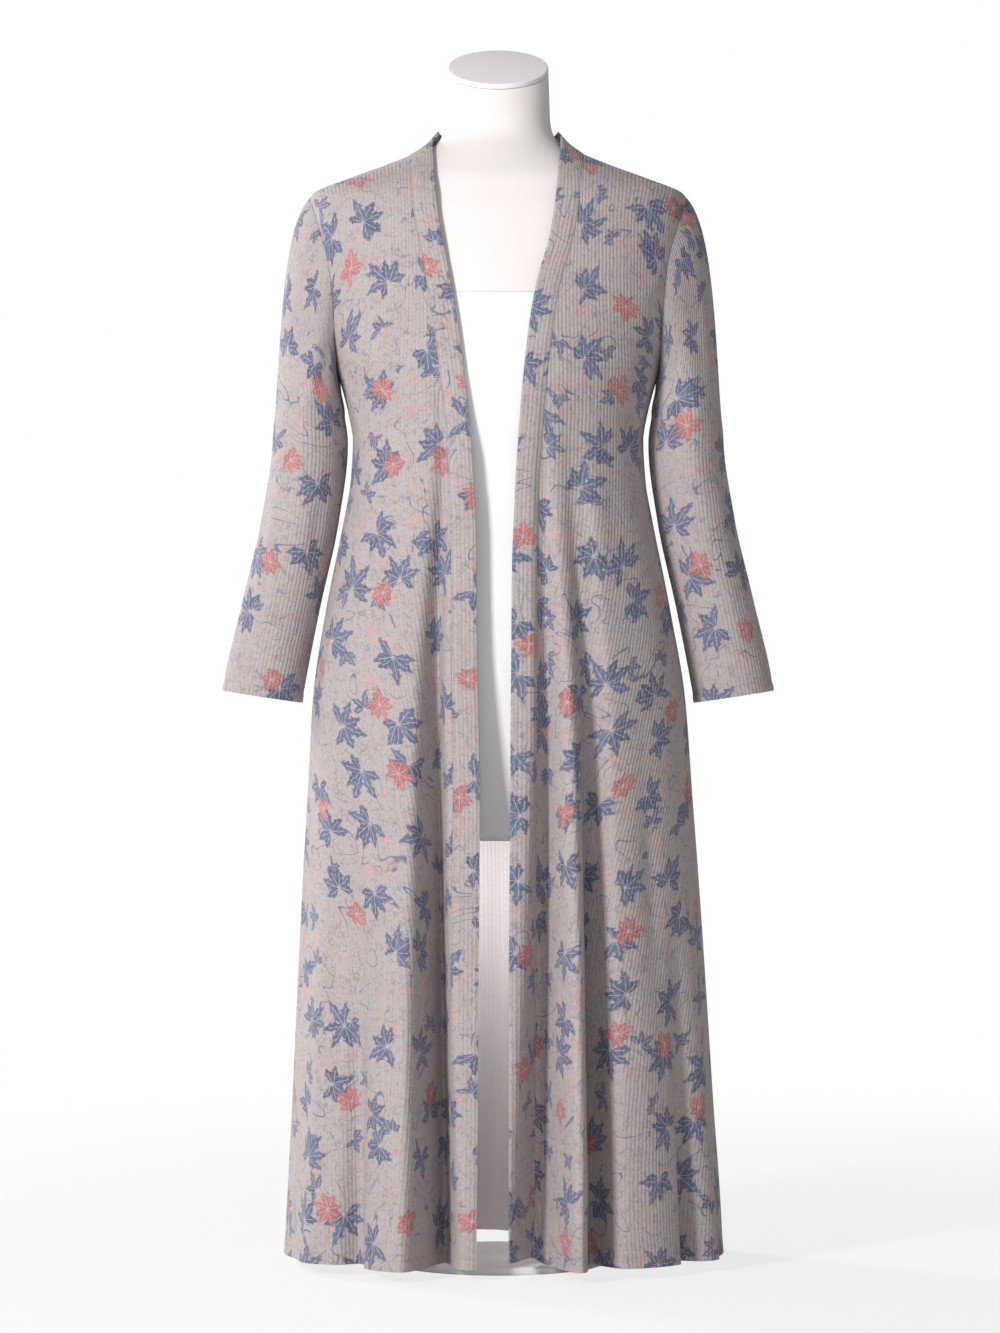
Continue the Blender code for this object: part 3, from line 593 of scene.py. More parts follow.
MOTIFS = motif_group()
VINES = vine_group()
BROKEN_RIB = broken_rib_group()
PRINT_COLUMNS = ("colour", "strength", "Spacing", "Length", "Width", "Leaves", "Fan", "Taper", "Teeth",
                 "Keep", "Missing", "Seed")
PRINT = (
    (PEACH, 0.50, 0.040, 0.0125, 0.0034, 6.0, 6.0, 0.00, 0.3, 0.62, 0.15, 31.3),
    (SAGE, 0.35, 0.110, 0.0120, 0.0032, 5.0, 3.0, 0.10, 0.4, 0.35, 0.00, 43.9),
    (SLATE_BLUE, 0.90, 0.056, 0.0220, 0.0042, 7.0, 4.0, 0.15, 0.6, 0.46, 0.00, 11.7),
    (SLATE_BLUE, 0.95, 0.066, 0.0370, 0.0056, 8.0, 6.0, 0.12, 0.6, 0.94, 0.00, 3.1),
    (CORAL, 0.88, 0.112, 0.0185, 0.0046, 8.0, 8.0, 0.00, 0.2, 0.78, 0.00, 23.5),
)
LINES_COLUMNS = ("colour", "strength", "Scale", "Thickness", "Keep", "Seed")
LINES = (
    (LINE_BROWN, 0.42, 84.0, 0.040, 0.56, 5.0),
    (PEACH, 0.50, 44.0, 0.030, 0.50, 8.0),
    (SLATE_LIGHT, 0.50, 36.0, 0.016, 0.46, 14.0),
    (SLATE_BLUE, 0.74, 15.0, 0.0080, 0.49, 2.0),
)


def printed_knit(name):
    material = new_material(name, TAUPE, 0.86)
    tree = Tree(material.node_tree)
    shader = material.node_tree.nodes["Principled BSDF"]
    shader.inputs["Sheen Weight"].default_value = 0.12
    shader.inputs["Specular IOR Level"].default_value = 0.25
    place = tree.node("ShaderNodeUVMap", {"uv_map": "cloth"}).outputs["UV"]
    heather = tree.node("ShaderNodeTexNoise", Vector=place, Scale=420.0, Detail=3.0).outputs["Fac"]
    cloudy = tree.node("ShaderNodeTexNoise", Vector=place, Scale=18.0, Detail=2.0).outputs["Fac"]
    speckle = tree.maths("MULTIPLY_ADD", heather, 1.3, -0.4)
    speckle = tree.maths("MULTIPLY_ADD", cloudy, 0.5, speckle, clamp=True)
    colour = tree.over((*TAUPE_DARK, 1.0), TAUPE, speckle)
    for row in LINES:
        values = dict(zip(LINES_COLUMNS, row))
        sizes = {key: values[key] for key in LINES_COLUMNS[2:]}
        lines = tree.node("ShaderNodeGroup", {"node_tree": VINES}, Place=place, **sizes).outputs["Line"]
        colour = tree.over(colour, values["colour"], tree.times(lines, values["strength"]))
    unsteady = tree.node("ShaderNodeTexNoise", Vector=place, Scale=95.0, Detail=1.0).outputs["Color"]
    unsteady = tree.scaled(tree.vector("SUBTRACT", unsteady, (0.5, 0.5, 0.5)), 0.0042)
    drawn = tree.vector("ADD", place, unsteady)
    brush = tree.node("ShaderNodeTexNoise", Vector=place, Scale=190.0, Detail=2.0).outputs["Fac"]
    brush = tree.maths("MULTIPLY_ADD", brush, 0.9, 0.50, clamp=True)
    for row in PRINT:
        values = dict(zip(PRINT_COLUMNS, row))
        sizes = {key: values[key] for key in PRINT_COLUMNS[2:]}
        motif = tree.node("ShaderNodeGroup", {"node_tree": MOTIFS}, Place=drawn, **sizes).outputs
        dark = (*[c * 0.85 for c in values["colour"]], 1.0)
        ink = tree.over(dark, [c * 1.2 + 0.01 for c in values["colour"]], motif["Shade"])
        cover = tree.times(tree.times(motif["Leaf"], brush), values["strength"])
        colour = tree.over(colour, ink, cover)
        light = tree.maths("MAXIMUM", motif["Vein"], motif["Centre"])
        colour = tree.over(colour, VEIN_PALE, tree.times(light, values["strength"] * 0.75))
    rib = tree.node("ShaderNodeGroup", {"node_tree": BROKEN_RIB}, Place=place).outputs
    # Painted shade darkens the rib's furrows and breaks on the printed face.
    colour = tree.over(colour, PAINTED_GROOVE_SHADE, tree.times(rib["Painted shade"], 0.20))
    tree.put(shader.inputs["Base Color"], colour)
    bump = tree.node("ShaderNodeBump", Strength=0.8, Distance=0.0005, Height=rib["Height"])
    tree.put(shader.inputs["Normal"], bump.outputs["Normal"])
    return material


def wrong_side(name):
    material = new_material(name, WRONG_SIDE, 0.9)
    tree = Tree(material.node_tree)
    shader = material.node_tree.nodes["Principled BSDF"]
    place = tree.node("ShaderNodeUVMap", {"uv_map": "cloth"}).outputs["UV"]
    rib = tree.node("ShaderNodeGroup", {"node_tree": BROKEN_RIB}, Place=place).outputs
    grain = tree.node("ShaderNodeTexNoise", Vector=place, Scale=300.0, Detail=2.0).outputs["Fac"]
    colour = tree.over((*[c * 0.9 for c in WRONG_SIDE], 1.0), WRONG_SIDE, grain)
    # Painted shade darkens the rib's furrows and breaks on the wrong side.
    colour = tree.over(colour, PAINTED_GROOVE_SHADE, tree.times(rib["Painted shade"], 0.14))
    tree.put(shader.inputs["Base Color"], colour)
    bump = tree.node("ShaderNodeBump", Strength=0.5, Distance=0.0004, Height=rib["Height"])
    tree.put(shader.inputs["Normal"], bump.outputs["Normal"])
    return material


KNIT_FACE = printed_knit("printed_knit")
KNIT_BACK = wrong_side("knit_wrong_side")

# The hang of the cardigan: all its panels lie on one surface, given by a turn round from the centre front
# and a height. Folds run down the skirt, a row for each, and short creases pull across the yoke and from the
# underarms.

CLOTH = 0.0015
SEAM_GAP = 0.0003
HEM = 0.0125
UNDERARM = 0.945
SHOULDER_TIP = 1.134
NECK_POINT = 1.180
BODY = (
    (0.000, 0.2325, 0.165, 0.184, 0.006),
    (0.066, 0.2290, 0.163, 0.179, 0.006),
    (0.170, 0.2225, 0.159, 0.170, 0.005),
    (0.280, 0.2165, 0.155, 0.161, 0.004),
    (0.385, 0.2105, 0.150, 0.152, 0.003),
    (0.500, 0.2030, 0.143, 0.142, 0.002),
    (0.600, 0.1965, 0.135, 0.132, 0.001),
    (0.700, 0.1805, 0.125, 0.119, 0.000),
    (0.790, 0.1625, 0.118, 0.107, 0.000),
    (0.830, 0.1555, 0.117, 0.103, 0.000),
    (0.875, 0.1530, 0.119, 0.102, 0.000),
    (0.900, 0.1570, 0.122, 0.104, 0.000),
    (0.945, 0.1690, 0.129, 0.108, 0.000),
    (1.000, 0.1860, 0.130, 0.112, 0.000),
    (1.050, 0.1970, 0.125, 0.111, 0.000),
    (1.100, 0.2030, 0.114, 0.106, 0.000),
    (1.125, 0.2010, 0.107, 0.101, 0.000),
    (1.134, 0.1970, 0.103, 0.098, 0.000),
    (1.150, 0.1600, 0.094, 0.089, 0.000),
    (1.165, 0.1190, 0.083, 0.081, 0.000),
    (1.180, 0.0850, 0.071, 0.073, 0.000),
    (1.195, 0.0680, 0.061, 0.066, 0.000),
    (1.205, 0.0622, 0.057, 0.061, 0.000),
    (1.230, 0.0600, 0.055, 0.059, 0.000),
)
FOLD_RAMP = 0.75
TROUGH_SHARPNESS = 3.0
RIDGE_SHARPNESS = 2.0
FOLD_WIDENING = 1.6
FOLD_COLUMNS = ("side", "top_turn", "hem_turn", "start", "top_width", "hem_width", "depth", "growth")
FOLDS = (
    (+1, 18.2, 9.7, 0.985, 0.006, 0.020, -0.060, 1.1),
    (+1, 24.0, 17.5, 0.960, 0.010, 0.020, 0.034, 0.9),
    (+1, 31.5, 24.3, 0.930, 0.009, 0.014, -0.036, 0.8),
    (+1, 36.0, 37.0, 0.900, 0.016, 0.045, 0.012, 1.0),
    (+1, 54.0, 53.0, 0.420, 0.012, 0.014, -0.022, 1.2),
    (+1, 64.0, 63.0, 0.600, 0.016, 0.022, 0.010, 1.2),
    (-1, 22.0, 17.2, 1.000, 0.006, 0.0145, -0.058, 0.9),
    (-1, 31.5, 26.4, 0.960, 0.014, 0.032, 0.030, 0.9),
    (-1, 42.0, 40.0, 0.520, 0.010, 0.014, -0.022, 1.3),
    (-1, 56.0, 54.0, 0.700, 0.018, 0.026, 0.012, 1.2),
    (+1, 112.0, 108.0, 0.640, 0.016, 0.024, -0.016, 1.1),
    (+1, 128.0, 124.0, 0.820, 0.016, 0.026, 0.020, 1.1),
    (+1, 144.0, 141.0, 0.760, 0.012, 0.018, -0.022, 1.1),
    (+1, 158.0, 158.0, 0.880, 0.014, 0.026, 0.020, 1.0),
    (+1, 173.0, 174.0, 0.720, 0.012, 0.018, -0.020, 1.2),
    (-1, 110.0, 112.0, 0.760, 0.016, 0.026, -0.015, 1.1),
    (-1, 126.0, 130.0, 0.860, 0.016, 0.028, 0.019, 1.1),
    (-1, 142.0, 147.0, 0.700, 0.012, 0.020, -0.024, 1.1),
    (-1, 160.0, 164.0, 0.800, 0.014, 0.022, 0.018, 1.0),
)
CREASE_COLUMNS = ("side", "first_turn", "first_height", "last_turn", "last_height", "width", "depth")
CREASES = (
    (+1, 18.4, 1.020, 8.7, -0.450, 0.0060, -0.0130),
    (+1, 26.8, 0.960, 21.6, -0.500, 0.0080, -0.0200),
    (+1, 21.4, 0.940, 15.6, -0.500, 0.0120, 0.0060),
    (-1, 21.6, 0.990, 15.6, -0.550, 0.0070, -0.0160),
    (-1, 26.6, 0.940, 20.6, -0.500, 0.0090, 0.0070),
    (+1, 66.0, 1.010, 50.0, 0.930, 0.0080, -0.0016),
    (+1, 74.0, 0.965, 60.0, 0.820, 0.0090, 0.0020),
    (+1, 58.0, 1.060, 46.0, 1.000, 0.0100, 0.0012),
    (+1, 40.0, 0.880, 36.0, 0.700, 0.0120, 0.0022),
    (+1, 70.0, 0.800, 64.0, 0.600, 0.0120, -0.0022),
    (+1, 46.0, 0.560, 44.0, 0.260, 0.0130, -0.0030),
    (+1, 75.0, 0.460, 74.0, 0.120, 0.0150, -0.0026),
    (-1, 64.0, 1.020, 52.0, 0.940, 0.0080, -0.0016),
    (-1, 72.0, 0.970, 62.0, 0.840, 0.0090, 0.0018),
    (-1, 50.0, 0.900, 44.0, 0.680, 0.0120, -0.0020),
    (-1, 66.0, 0.740, 62.0, 0.480, 0.0130, 0.0028),
    (-1, 34.0, 0.520, 33.0, 0.240, 0.0100, -0.0028),
    (-1, 74.0, 0.520, 76.0, 0.180, 0.0150, -0.0028),
    (+1, 118.0, 0.990, 134.0, 0.920, 0.0090, -0.0016),
    (+1, 120.0, 0.900, 136.0, 0.780, 0.0120, 0.0018),
    (+1, 150.0, 0.620, 149.0, 0.300, 0.0130, 0.0026),
    (+1, 120.0, 0.440, 118.0, 0.140, 0.0130, -0.0024),
    (-1, 116.0, 1.000, 130.0, 0.930, 0.0090, -0.0016),
    (-1, 122.0, 0.880, 132.0, 0.760, 0.0120, 0.0018),
    (-1, 152.0, 0.560, 154.0, 0.220, 0.0130, -0.0026),
)


def fold_depth(turn, height, radius):
    """How far the folds and the creases push the cloth out of the plain section."""
    total = 0.0
    for row in FOLDS:
        fold = dict(zip(FOLD_COLUMNS, row))
        down = np.clip((fold["start"] - height) / (fold["start"] - HEM), 0.0, 1.0)
        middle = fold["top_turn"] + (fold["hem_turn"] - fold["top_turn"]) * down
        width = fold["top_width"] + (fold["hem_width"] - fold["top_width"]) * down ** FOLD_WIDENING
        aside = np.radians((turn * fold["side"] - middle + 180) % 360 - 180) * radius / width
        sharpness = TROUGH_SHARPNESS if fold["depth"] < 0 else RIDGE_SHARPNESS
        grown = ease(down ** fold["growth"] * FOLD_RAMP) / ease(FOLD_RAMP)
        total = total + fold["depth"] * grown * np.exp(-abs(aside) ** sharpness)
    for row in CREASES:
        crease = dict(zip(CREASE_COLUMNS, row))
        along = (crease["first_height"] - height) / (crease["first_height"] - crease["last_height"])
        along = np.clip(along, 0.0, 1.0)
        middle = crease["first_turn"] + (crease["last_turn"] - crease["first_turn"]) * along
        aside = np.radians((turn * crease["side"] - middle + 180) % 360 - 180) * radius / crease["width"]
        total = total + crease["depth"] * np.sin(np.pi * along) ** 2 * np.exp(-aside * aside)
    return total


def body(turn, height):
    x, y, out_x, out_y = section(BODY, turn, height)
    push = fold_depth(turn, height, np.hypot(x, y))
    return np.stack(np.broadcast_arrays(x + out_x * push, y + out_y * push, height), axis=-1)


def unit(vectors):
    return vectors / np.linalg.norm(vectors, axis=-1, keepdims=True)


def body_normal(turn, height):
    small_turn, small_height = 0.1, 0.0005
    along = body(turn + small_turn, height) - body(turn - small_turn, height)
    up = body(turn, height + small_height) - body(turn, height - small_height)
    return unit(np.cross(along, up))


def pairs(turn, height):
    return np.stack(np.broadcast_arrays(turn, height), axis=-1)


def distances(points, axis):
    steps = np.linalg.norm(np.diff(points, axis=axis), axis=-1)
    nothing = np.zeros_like(np.take(steps, [0], axis=axis))
    return np.concatenate([nothing, np.cumsum(steps, axis=axis)], axis=axis)


def evenly(curve, start, end, count):
    """Values from start to end whose points on the curve are evenly spaced along it."""
    values = np.linspace(start, end, 600)
    length = distances(curve(values), 0)
    return np.interp(np.linspace(0, length[-1], count + 1), length, values)


def patch(start_side, end_side, bottom, top):
    """Turns and heights over a Coons patch between four edges of the body, with its rows going up."""
    start_side, end_side, bottom, top = (body(e[:, 0], e[:, 1]) for e in (start_side, end_side, bottom, top))
    v = np.linspace(0, 1, len(start_side))[:, None, None]
    t = np.linspace(0, 1, len(bottom))[None, :, None]
    across = (1 - t) * start_side[:, None] + t * end_side[:, None]
    upward = (1 - v) * bottom[None] + v * top[None]
    corners = (1 - v) * ((1 - t) * bottom[0] + t * bottom[-1]) + v * ((1 - t) * top[0] + t * top[-1])
    x, y, height = np.moveaxis(across + upward - corners, -1, 0)
    depth = np.where(y < 0, section_value(BODY, "front", height), section_value(BODY, "back", height))
    part = (x - section_value(BODY, "shift", height)) / section_value(BODY, "half_width", height)
    return pairs(np.degrees(np.arctan2(np.maximum(part, 0), -y / depth)), height)


def draw_in(grid, amount, edges):
    """Moves the named edges of a grid of points inwards, which leaves the gap at a seam."""
    grid = grid.copy()
    for edge in edges:
        rim, inner = {
            "start": (np.s_[:, 0], np.s_[:, 1]), "end": (np.s_[:, -1], np.s_[:, -2]),
            "bottom": (np.s_[0], np.s_[1]), "top": (np.s_[-1], np.s_[-2]),
        }[edge]
        grid[rim] += unit(grid[inner] - grid[rim]) * amount
    return grid


def shell(name, inner, outer, cloth_map, closed=False, lining=KNIT_BACK):
    """A wall of cloth, printed outside and usually plain inside, with its map in metres."""
    rows, columns = inner.shape[:2]
    count = rows * columns
    spans = columns if closed else columns - 1
    i, j = np.meshgrid(np.arange(rows - 1), np.arange(spans), indexing="ij")
    i, j = i.ravel(), j.ravel()
    k = (j + 1) % columns
    a, b, c, d = i * columns + j, i * columns + k, (i + 1) * columns + k, (i + 1) * columns + j
    face = np.stack([a, b, c, d], axis=1) + count
    reverse = np.stack([d, c, b, a], axis=1)
    map_columns = cloth_map.shape[1]
    ma, mb = i * map_columns + j, i * map_columns + j + 1
    face_map = np.stack([ma, mb, mb + map_columns, ma + map_columns], axis=1)
    rims, rim_maps = [], []

    def rim(low, high, low_map, high_map):
        rims.append(np.stack([low, high, high + count, low + count], axis=1))
        rim_maps.append(np.stack([low_map, high_map, high_map, low_map], axis=1))

    j = np.arange(spans)
    k = (j + 1) % columns
    last, map_last = (rows - 1) * columns, (rows - 1) * map_columns
    rim(j, k, j, j + 1)
    rim(last + k, last + j, map_last + j + 1, map_last + j)
    if not closed:
        i = np.arange(rows - 1)
        rim((i + 1) * columns, i * columns, (i + 1) * map_columns, i * map_columns)
        i, up = i + 1, i + 2
        rim(i * columns - 1, up * columns - 1, i * map_columns - 1, up * map_columns - 1)
    quads = np.concatenate([face, reverse] + rims)
    maps = np.concatenate([face_map, face_map[:, ::-1]] + rim_maps)
    points = np.concatenate([inner.reshape(-1, 3), outer.reshape(-1, 3)])
    mesh = bpy.data.meshes.new(name)
    mesh.from_pydata(points.tolist(), [], quads.tolist())
    layer = mesh.uv_layers.new(name="cloth")
    layer.data.foreach_set("uv", cloth_map.reshape(-1, 2)[maps.ravel()].astype(np.float32).ravel())
    sides = np.zeros(len(quads), np.int32)
    sides[len(face):2 * len(face)] = 1
    mesh.polygons.foreach_set("material_index", sides)
    turn_outwards(mesh)
    mesh.shade_smooth()
    mesh.set_sharp_from_angle(angle=math.radians(60.0))
    mesh.materials.append(KNIT_FACE)
    mesh.materials.append(lining)
    return add_object(name, mesh)


def declare(piece, node):
    """Attaches the piece to the root body and hides the node it replaces."""
    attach(piece, "root")
    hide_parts(node)


def hem_turn_up(from_edge, depth, lift):
    """A turned hem: a little thicker up to its stitch line, with a small groove at the stitches."""
    raised = lift * (1 - ease((from_edge - depth) / 0.002 + 0.5))
    groove = 0.0005 * np.exp(-(((from_edge - depth) / 0.0012) ** 2))
    return raised - groove


HEM_DEPTH = 0.0115
HEM_LIFT = 0.0006

# The stitching: a row of short thread stitches in grey cotton along each hem, cuff and band seam, sunk
# halfway into the cloth. Each row follows a line of points on its own panel.

THREAD_GREY = (0.36, 0.33, 0.325)
STITCH_PITCH = 0.0034
STITCH_LENGTH = 0.0024
THREAD_RADIUS = 0.00028
thread = new_material("thread", THREAD_GREY, 0.7)
thread_tree = Tree(thread.node_tree)
twist_place = thread_tree.node("ShaderNodeTexCoord").outputs["Object"]
twist = thread_tree.node("ShaderNodeTexNoise", Vector=twist_place, Scale=1500.0).outputs["Fac"]
thread_tree.put(thread.node_tree.nodes["Principled BSDF"].inputs["Base Color"],
                thread_tree.over((*[c * 0.8 for c in THREAD_GREY], 1.0), THREAD_GREY, twist))


def stitch_tree():
    group = bpy.data.node_groups.new("stitch row", "GeometryNodeTree")
    group.interface.new_socket("Geometry", in_out="INPUT", socket_type="NodeSocketGeometry")
    for label, value in (("Pitch", STITCH_PITCH), ("Length", STITCH_LENGTH), ("Radius", THREAD_RADIUS)):
        group.interface.new_socket(label, in_out="INPUT", socket_type="NodeSocketFloat").default_value = value
    group.interface.new_socket("Thread", in_out="INPUT", socket_type="NodeSocketMaterial")
    group.interface.new_socket("Geometry", in_out="OUTPUT", socket_type="NodeSocketGeometry")
    tree = Tree(group)
    given, result = group.nodes.new("NodeGroupInput"), group.nodes.new("NodeGroupOutput")
    ask = given.outputs
    line = tree.node("GeometryNodeMeshToCurve", Mesh=ask["Geometry"]).outputs["Curve"]
    spaced = tree.node("GeometryNodeResampleCurve", {"mode": "LENGTH"}, Curve=line, Length=ask["Pitch"])
    points = tree.node("GeometryNodeCurveToPoints", {"mode": "EVALUATED"}, Curve=spaced.outputs["Curve"]).outputs
    stitch = tree.node("GeometryNodeMeshCylinder", Vertices=6, Radius=ask["Radius"], Depth=ask["Length"])
    along = tree.node("FunctionNodeAlignRotationToVector", {"axis": "Z"}, Vector=points["Tangent"])
    copies = tree.node("GeometryNodeInstanceOnPoints", Points=points["Points"], Instance=stitch.outputs["Mesh"],
                       Rotation=along.outputs["Rotation"])
    real = tree.node("GeometryNodeRealizeInstances", Geometry=copies.outputs["Instances"]).outputs["Geometry"]
    made = tree.node("GeometryNodeSetMaterial", Geometry=real, Material=ask["Thread"]).outputs["Geometry"]
    tree.put(result.inputs["Geometry"], made)
    return group


STITCHES = stitch_tree()


def stitch_rows(name, lines):
    """Stitches along each line of points, as one plain mesh."""
    points, edges = [], []
    for line in lines:
        first = len(points)
        points += [tuple(p) for p in line]
        edges += [(first + n, first + n + 1) for n in range(len(line) - 1)]
    mesh = bpy.data.meshes.new(name + "_line")
    mesh.from_pydata(points, edges, [])
    guide = add_object(name + "_line", mesh)
    modifier = guide.modifiers.new("stitches", "NODES")
    modifier.node_group = STITCHES
    sockets = {item.name: item.identifier for item in STITCHES.interface.items_tree if item.in_out == "INPUT"}
    modifier[sockets["Pitch"]] = STITCH_PITCH
    modifier[sockets["Length"]] = STITCH_LENGTH
    modifier[sockets["Radius"]] = THREAD_RADIUS
    modifier[sockets["Thread"]] = thread
    graph = bpy.context.evaluated_depsgraph_get()
    plain = bpy.data.meshes.new_from_object(guide.evaluated_get(graph))
    bpy.data.objects.remove(guide)
    plain.name = name
    piece = add_object(name, plain)
    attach(piece, "root")
    return piece


# The fronts: one panel each, from the hem to the shoulder seam, cut on the lengthwise grain and sewn to the
# band along the front edge. Deep folds hang from just under the bust beside each band.

SKIRT_ROWS = 84
YOKE_ROWS = 44
FRONT_CELLS = 150
FRONT_CROWDING = 1.5
ARMHOLE_FRONT = 0.066
ARMHOLE_BACK = 0.068
EDGE_COLUMNS = ("height", "left_edge", "right_edge")
EDGES = (
    (0.000, 0.0108, 0.0225),
    (0.300, 0.0112, 0.0200),
    (0.500, 0.0124, 0.0190),
    (0.640, 0.0135, 0.0220),
    (0.745, 0.0145, 0.0228),
    (0.790, 0.0164, 0.0236),
    (0.828, 0.0180, 0.0258),
    (0.870, 0.0208, 0.0284),
    (0.932, 0.0257, 0.0346),
    (0.994, 0.0328, 0.0424),
    (1.038, 0.0410, 0.0499),
    (1.080, 0.0530, 0.0580),
    (1.120, 0.0595, 0.0645),
    (1.160, 0.0635, 0.0675),
    (1.185, 0.0660, 0.0690),
    (1.230, 0.0660, 0.0690),
)
BAND_WIDTH_TOP = 0.025
BAND_WIDTH_HEM = 0.030
BAND_LIFT_LEFT = 0.030
BAND_LIFT_TURN = 12.0
PRINT_SHIFT = {
    "front_left": (0.31, 0.12),
    "front_right": (1.07, 0.55),
    "back": (2.3, 0.9),
    "sleeve_left": (3.4, 0.2),
    "sleeve_right": (4.2, 0.7),
    "band_left": (5.1, 0.4),
    "band_right": (5.7, 0.9),
    "band_neck": (6.3, 0.1),
}


def turn_at(across, height):
    part = np.clip(across / section_value(BODY, "half_width", height), 0.0, 1.0)
    return np.degrees(np.arctan2(part, (1 - part ** SQUARENESS) ** (1 / SQUARENESS)))


def edge_across(side, height):
    name = "left_edge" if side > 0 else "right_edge"
    edge = through(height, column(EDGES, EDGE_COLUMNS, "height"), column(EDGES, EDGE_COLUMNS, name))
    return edge - side * section_value(BODY, "shift", height)


def seam_turn(side, height):
    width = BAND_WIDTH_HEM + (BAND_WIDTH_TOP - BAND_WIDTH_HEM) * ease(height / UNDERARM)
    return turn_at(edge_across(side, height) + width, height)


def armhole(angle, back):
    """Turns and heights along an armhole: 0 is the shoulder tip and 180 the underarm."""
    middle, half = (SHOULDER_TIP + UNDERARM) / 2, (SHOULDER_TIP - UNDERARM) / 2
    height = middle + half * np.cos(np.radians(angle))
    reach = (ARMHOLE_BACK if back else ARMHOLE_FRONT) * np.sin(np.radians(angle))
    along = reach / section_value(BODY, "back" if back else "front", height)
    across = (1 - np.clip(along, 0, 1) ** SQUARENESS) ** (1 / SQUARENESS)
    turn = np.degrees(np.arctan2(across, along))
    return (180 - turn if back else turn), height


def armhole_angles(back, count):
    return evenly(lambda a: body(*armhole(a, back)), 180.0, 0.0, count)


def hem_height(side, turn):
    if side < 0:
        return np.full_like(turn, HEM)
    return HEM + BAND_LIFT_LEFT * (1 - ease(turn / BAND_LIFT_TURN))


def front_seam_heights(side):
    return evenly(lambda h: body(side * seam_turn(side, h), h), UNDERARM, NECK_POINT, YOKE_ROWS)


def front_grid(side):
    t = np.linspace(0, 1, FRONT_CELLS + 1) ** FRONT_CROWDING
    seam = seam_turn(side, HEM)
    hem = hem_height(side, seam + (90 - seam) * t)
    rise = np.linspace(0, 1, SKIRT_ROWS + 1)[:, None]
    height = hem + (UNDERARM - hem) * rise
    start = seam_turn(side, height)
    skirt = pairs(start + (90 - start) * t, height)
    seam_heights = front_seam_heights(side)
    seam_side = pairs(seam_turn(side, seam_heights), seam_heights)
    seam_side[-1, 0] = 90.0
    arm_side = np.stack(armhole(armhole_angles(False, YOKE_ROWS), False), axis=-1)
    shoulder = pairs(90.0, NECK_POINT + (SHOULDER_TIP - NECK_POINT) * np.linspace(0, 1, FRONT_CELLS + 1))
    yoke = patch(seam_side, arm_side, skirt[-1], shoulder)
    yoke[-1] = shoulder
    return np.concatenate([skirt, yoke[1:]])


def panel(name, side, grid, edges, across_from):
    """A panel on the body's surface, whose first column lies across_from off the lengthwise grain."""
    turn, height = side * grid[..., 0], grid[..., 1]
    inner = draw_in(body(turn, height), SEAM_GAP / 2, edges)
    normal = body_normal(turn, height)
    across = distances(inner, 1) + across_from[:, None]
    up = distances(inner, 0)
    turned_up = hem_turn_up(up, HEM_DEPTH, HEM_LIFT)
    outer = inner + normal * (CLOTH + turned_up)[..., None]
    shift = PRINT_SHIFT[name]
    cloth_map = np.stack([across + shift[0], up + shift[1]], axis=-1)
    piece = shell(name + "_cloth", inner - normal * turned_up[..., None], outer, cloth_map)
    return piece, cloth_map, inner, outer, up


def row_at(outer, up, distance):
    """The line of points so far up from the hem."""
    return np.array([[np.interp(distance, up[:, j], outer[:, j, axis]) for axis in range(3)]
                     for j in range(outer.shape[1])])


for side, word in ((+1, "left"), (-1, "right")):
    name = "front_" + word
    grid = front_grid(side)
    off_grain = abs(body(side * grid[:, 0, 0], grid[:, 0, 1])[:, 0])
    front, cloth_map, inner, outer, up = panel(name, side, grid, ("start", "end", "top"), off_grain)
    stitches = stitch_rows("hem_stitches_" + word, [row_at(outer, up, HEM_DEPTH)])
    declare(front, name)

# The back: one panel across, from the hem to the shoulder seams and the back neck, hanging in softer folds.

HALF_BACK_CELLS = 160
NECK_CELLS = 56
BACK_NECK_DROP = 0.008


def back_neck(count):
    turn = np.linspace(180.0, 90.0, count + 1)
    return pairs(turn, NECK_POINT - BACK_NECK_DROP * ease((turn - 90) / 90))


def half_back_grid():
    t = np.linspace(0, 1, HALF_BACK_CELLS + 1)
    height = HEM + (UNDERARM - HEM) * np.linspace(0, 1, SKIRT_ROWS + 1)[:, None]
    skirt = pairs(180 - 90 * t, height)
    neck = back_neck(NECK_CELLS)
    slope = np.linspace(0, 1, HALF_BACK_CELLS - NECK_CELLS + 1)[1:]
    shoulder = pairs(90.0, NECK_POINT + (SHOULDER_TIP - NECK_POINT) * slope)
    top = np.concatenate([neck, shoulder])
    centre_heights = np.linspace(UNDERARM, neck[0, 1], YOKE_ROWS + 1)
    arm_side = np.stack(armhole(armhole_angles(True, YOKE_ROWS), True), axis=-1)
    yoke = patch(pairs(180.0, centre_heights), arm_side, skirt[-1], top)
    yoke[-1] = top
    yoke[:, 0, 0] = 180.0
    return np.concatenate([skirt, yoke[1:]])


left_half = half_back_grid()
right_half = left_half * 1.0
right_half[..., 0] = 360 - right_half[..., 0]
back_grid = np.concatenate([left_half[:, ::-1], right_half[:, 1:]], axis=1)
back_points = body(back_grid[..., 0], back_grid[..., 1])
from_centre = -distances(back_points, 1)[:, HALF_BACK_CELLS]
back, cloth_map, inner, outer, up = panel("back", +1, back_grid, ("start", "end", "top"), from_centre)
stitches = stitch_rows("hem_stitches_back", [row_at(outer, up, HEM_DEPTH)])
declare(back, "back")

# The bands: a doubled strip of the same knit up each front edge, carried round the back neck, where it stands
# against the neck. A row of stitches runs down each band seam.

BAND_CLOTH = 0.0025
BAND_STAND = 0.023
BAND_STAND_FROM = 1.090
BAND_CELLS = 14
BAND_ROUND = 0.0009
BAND_SLOPE = 0.007


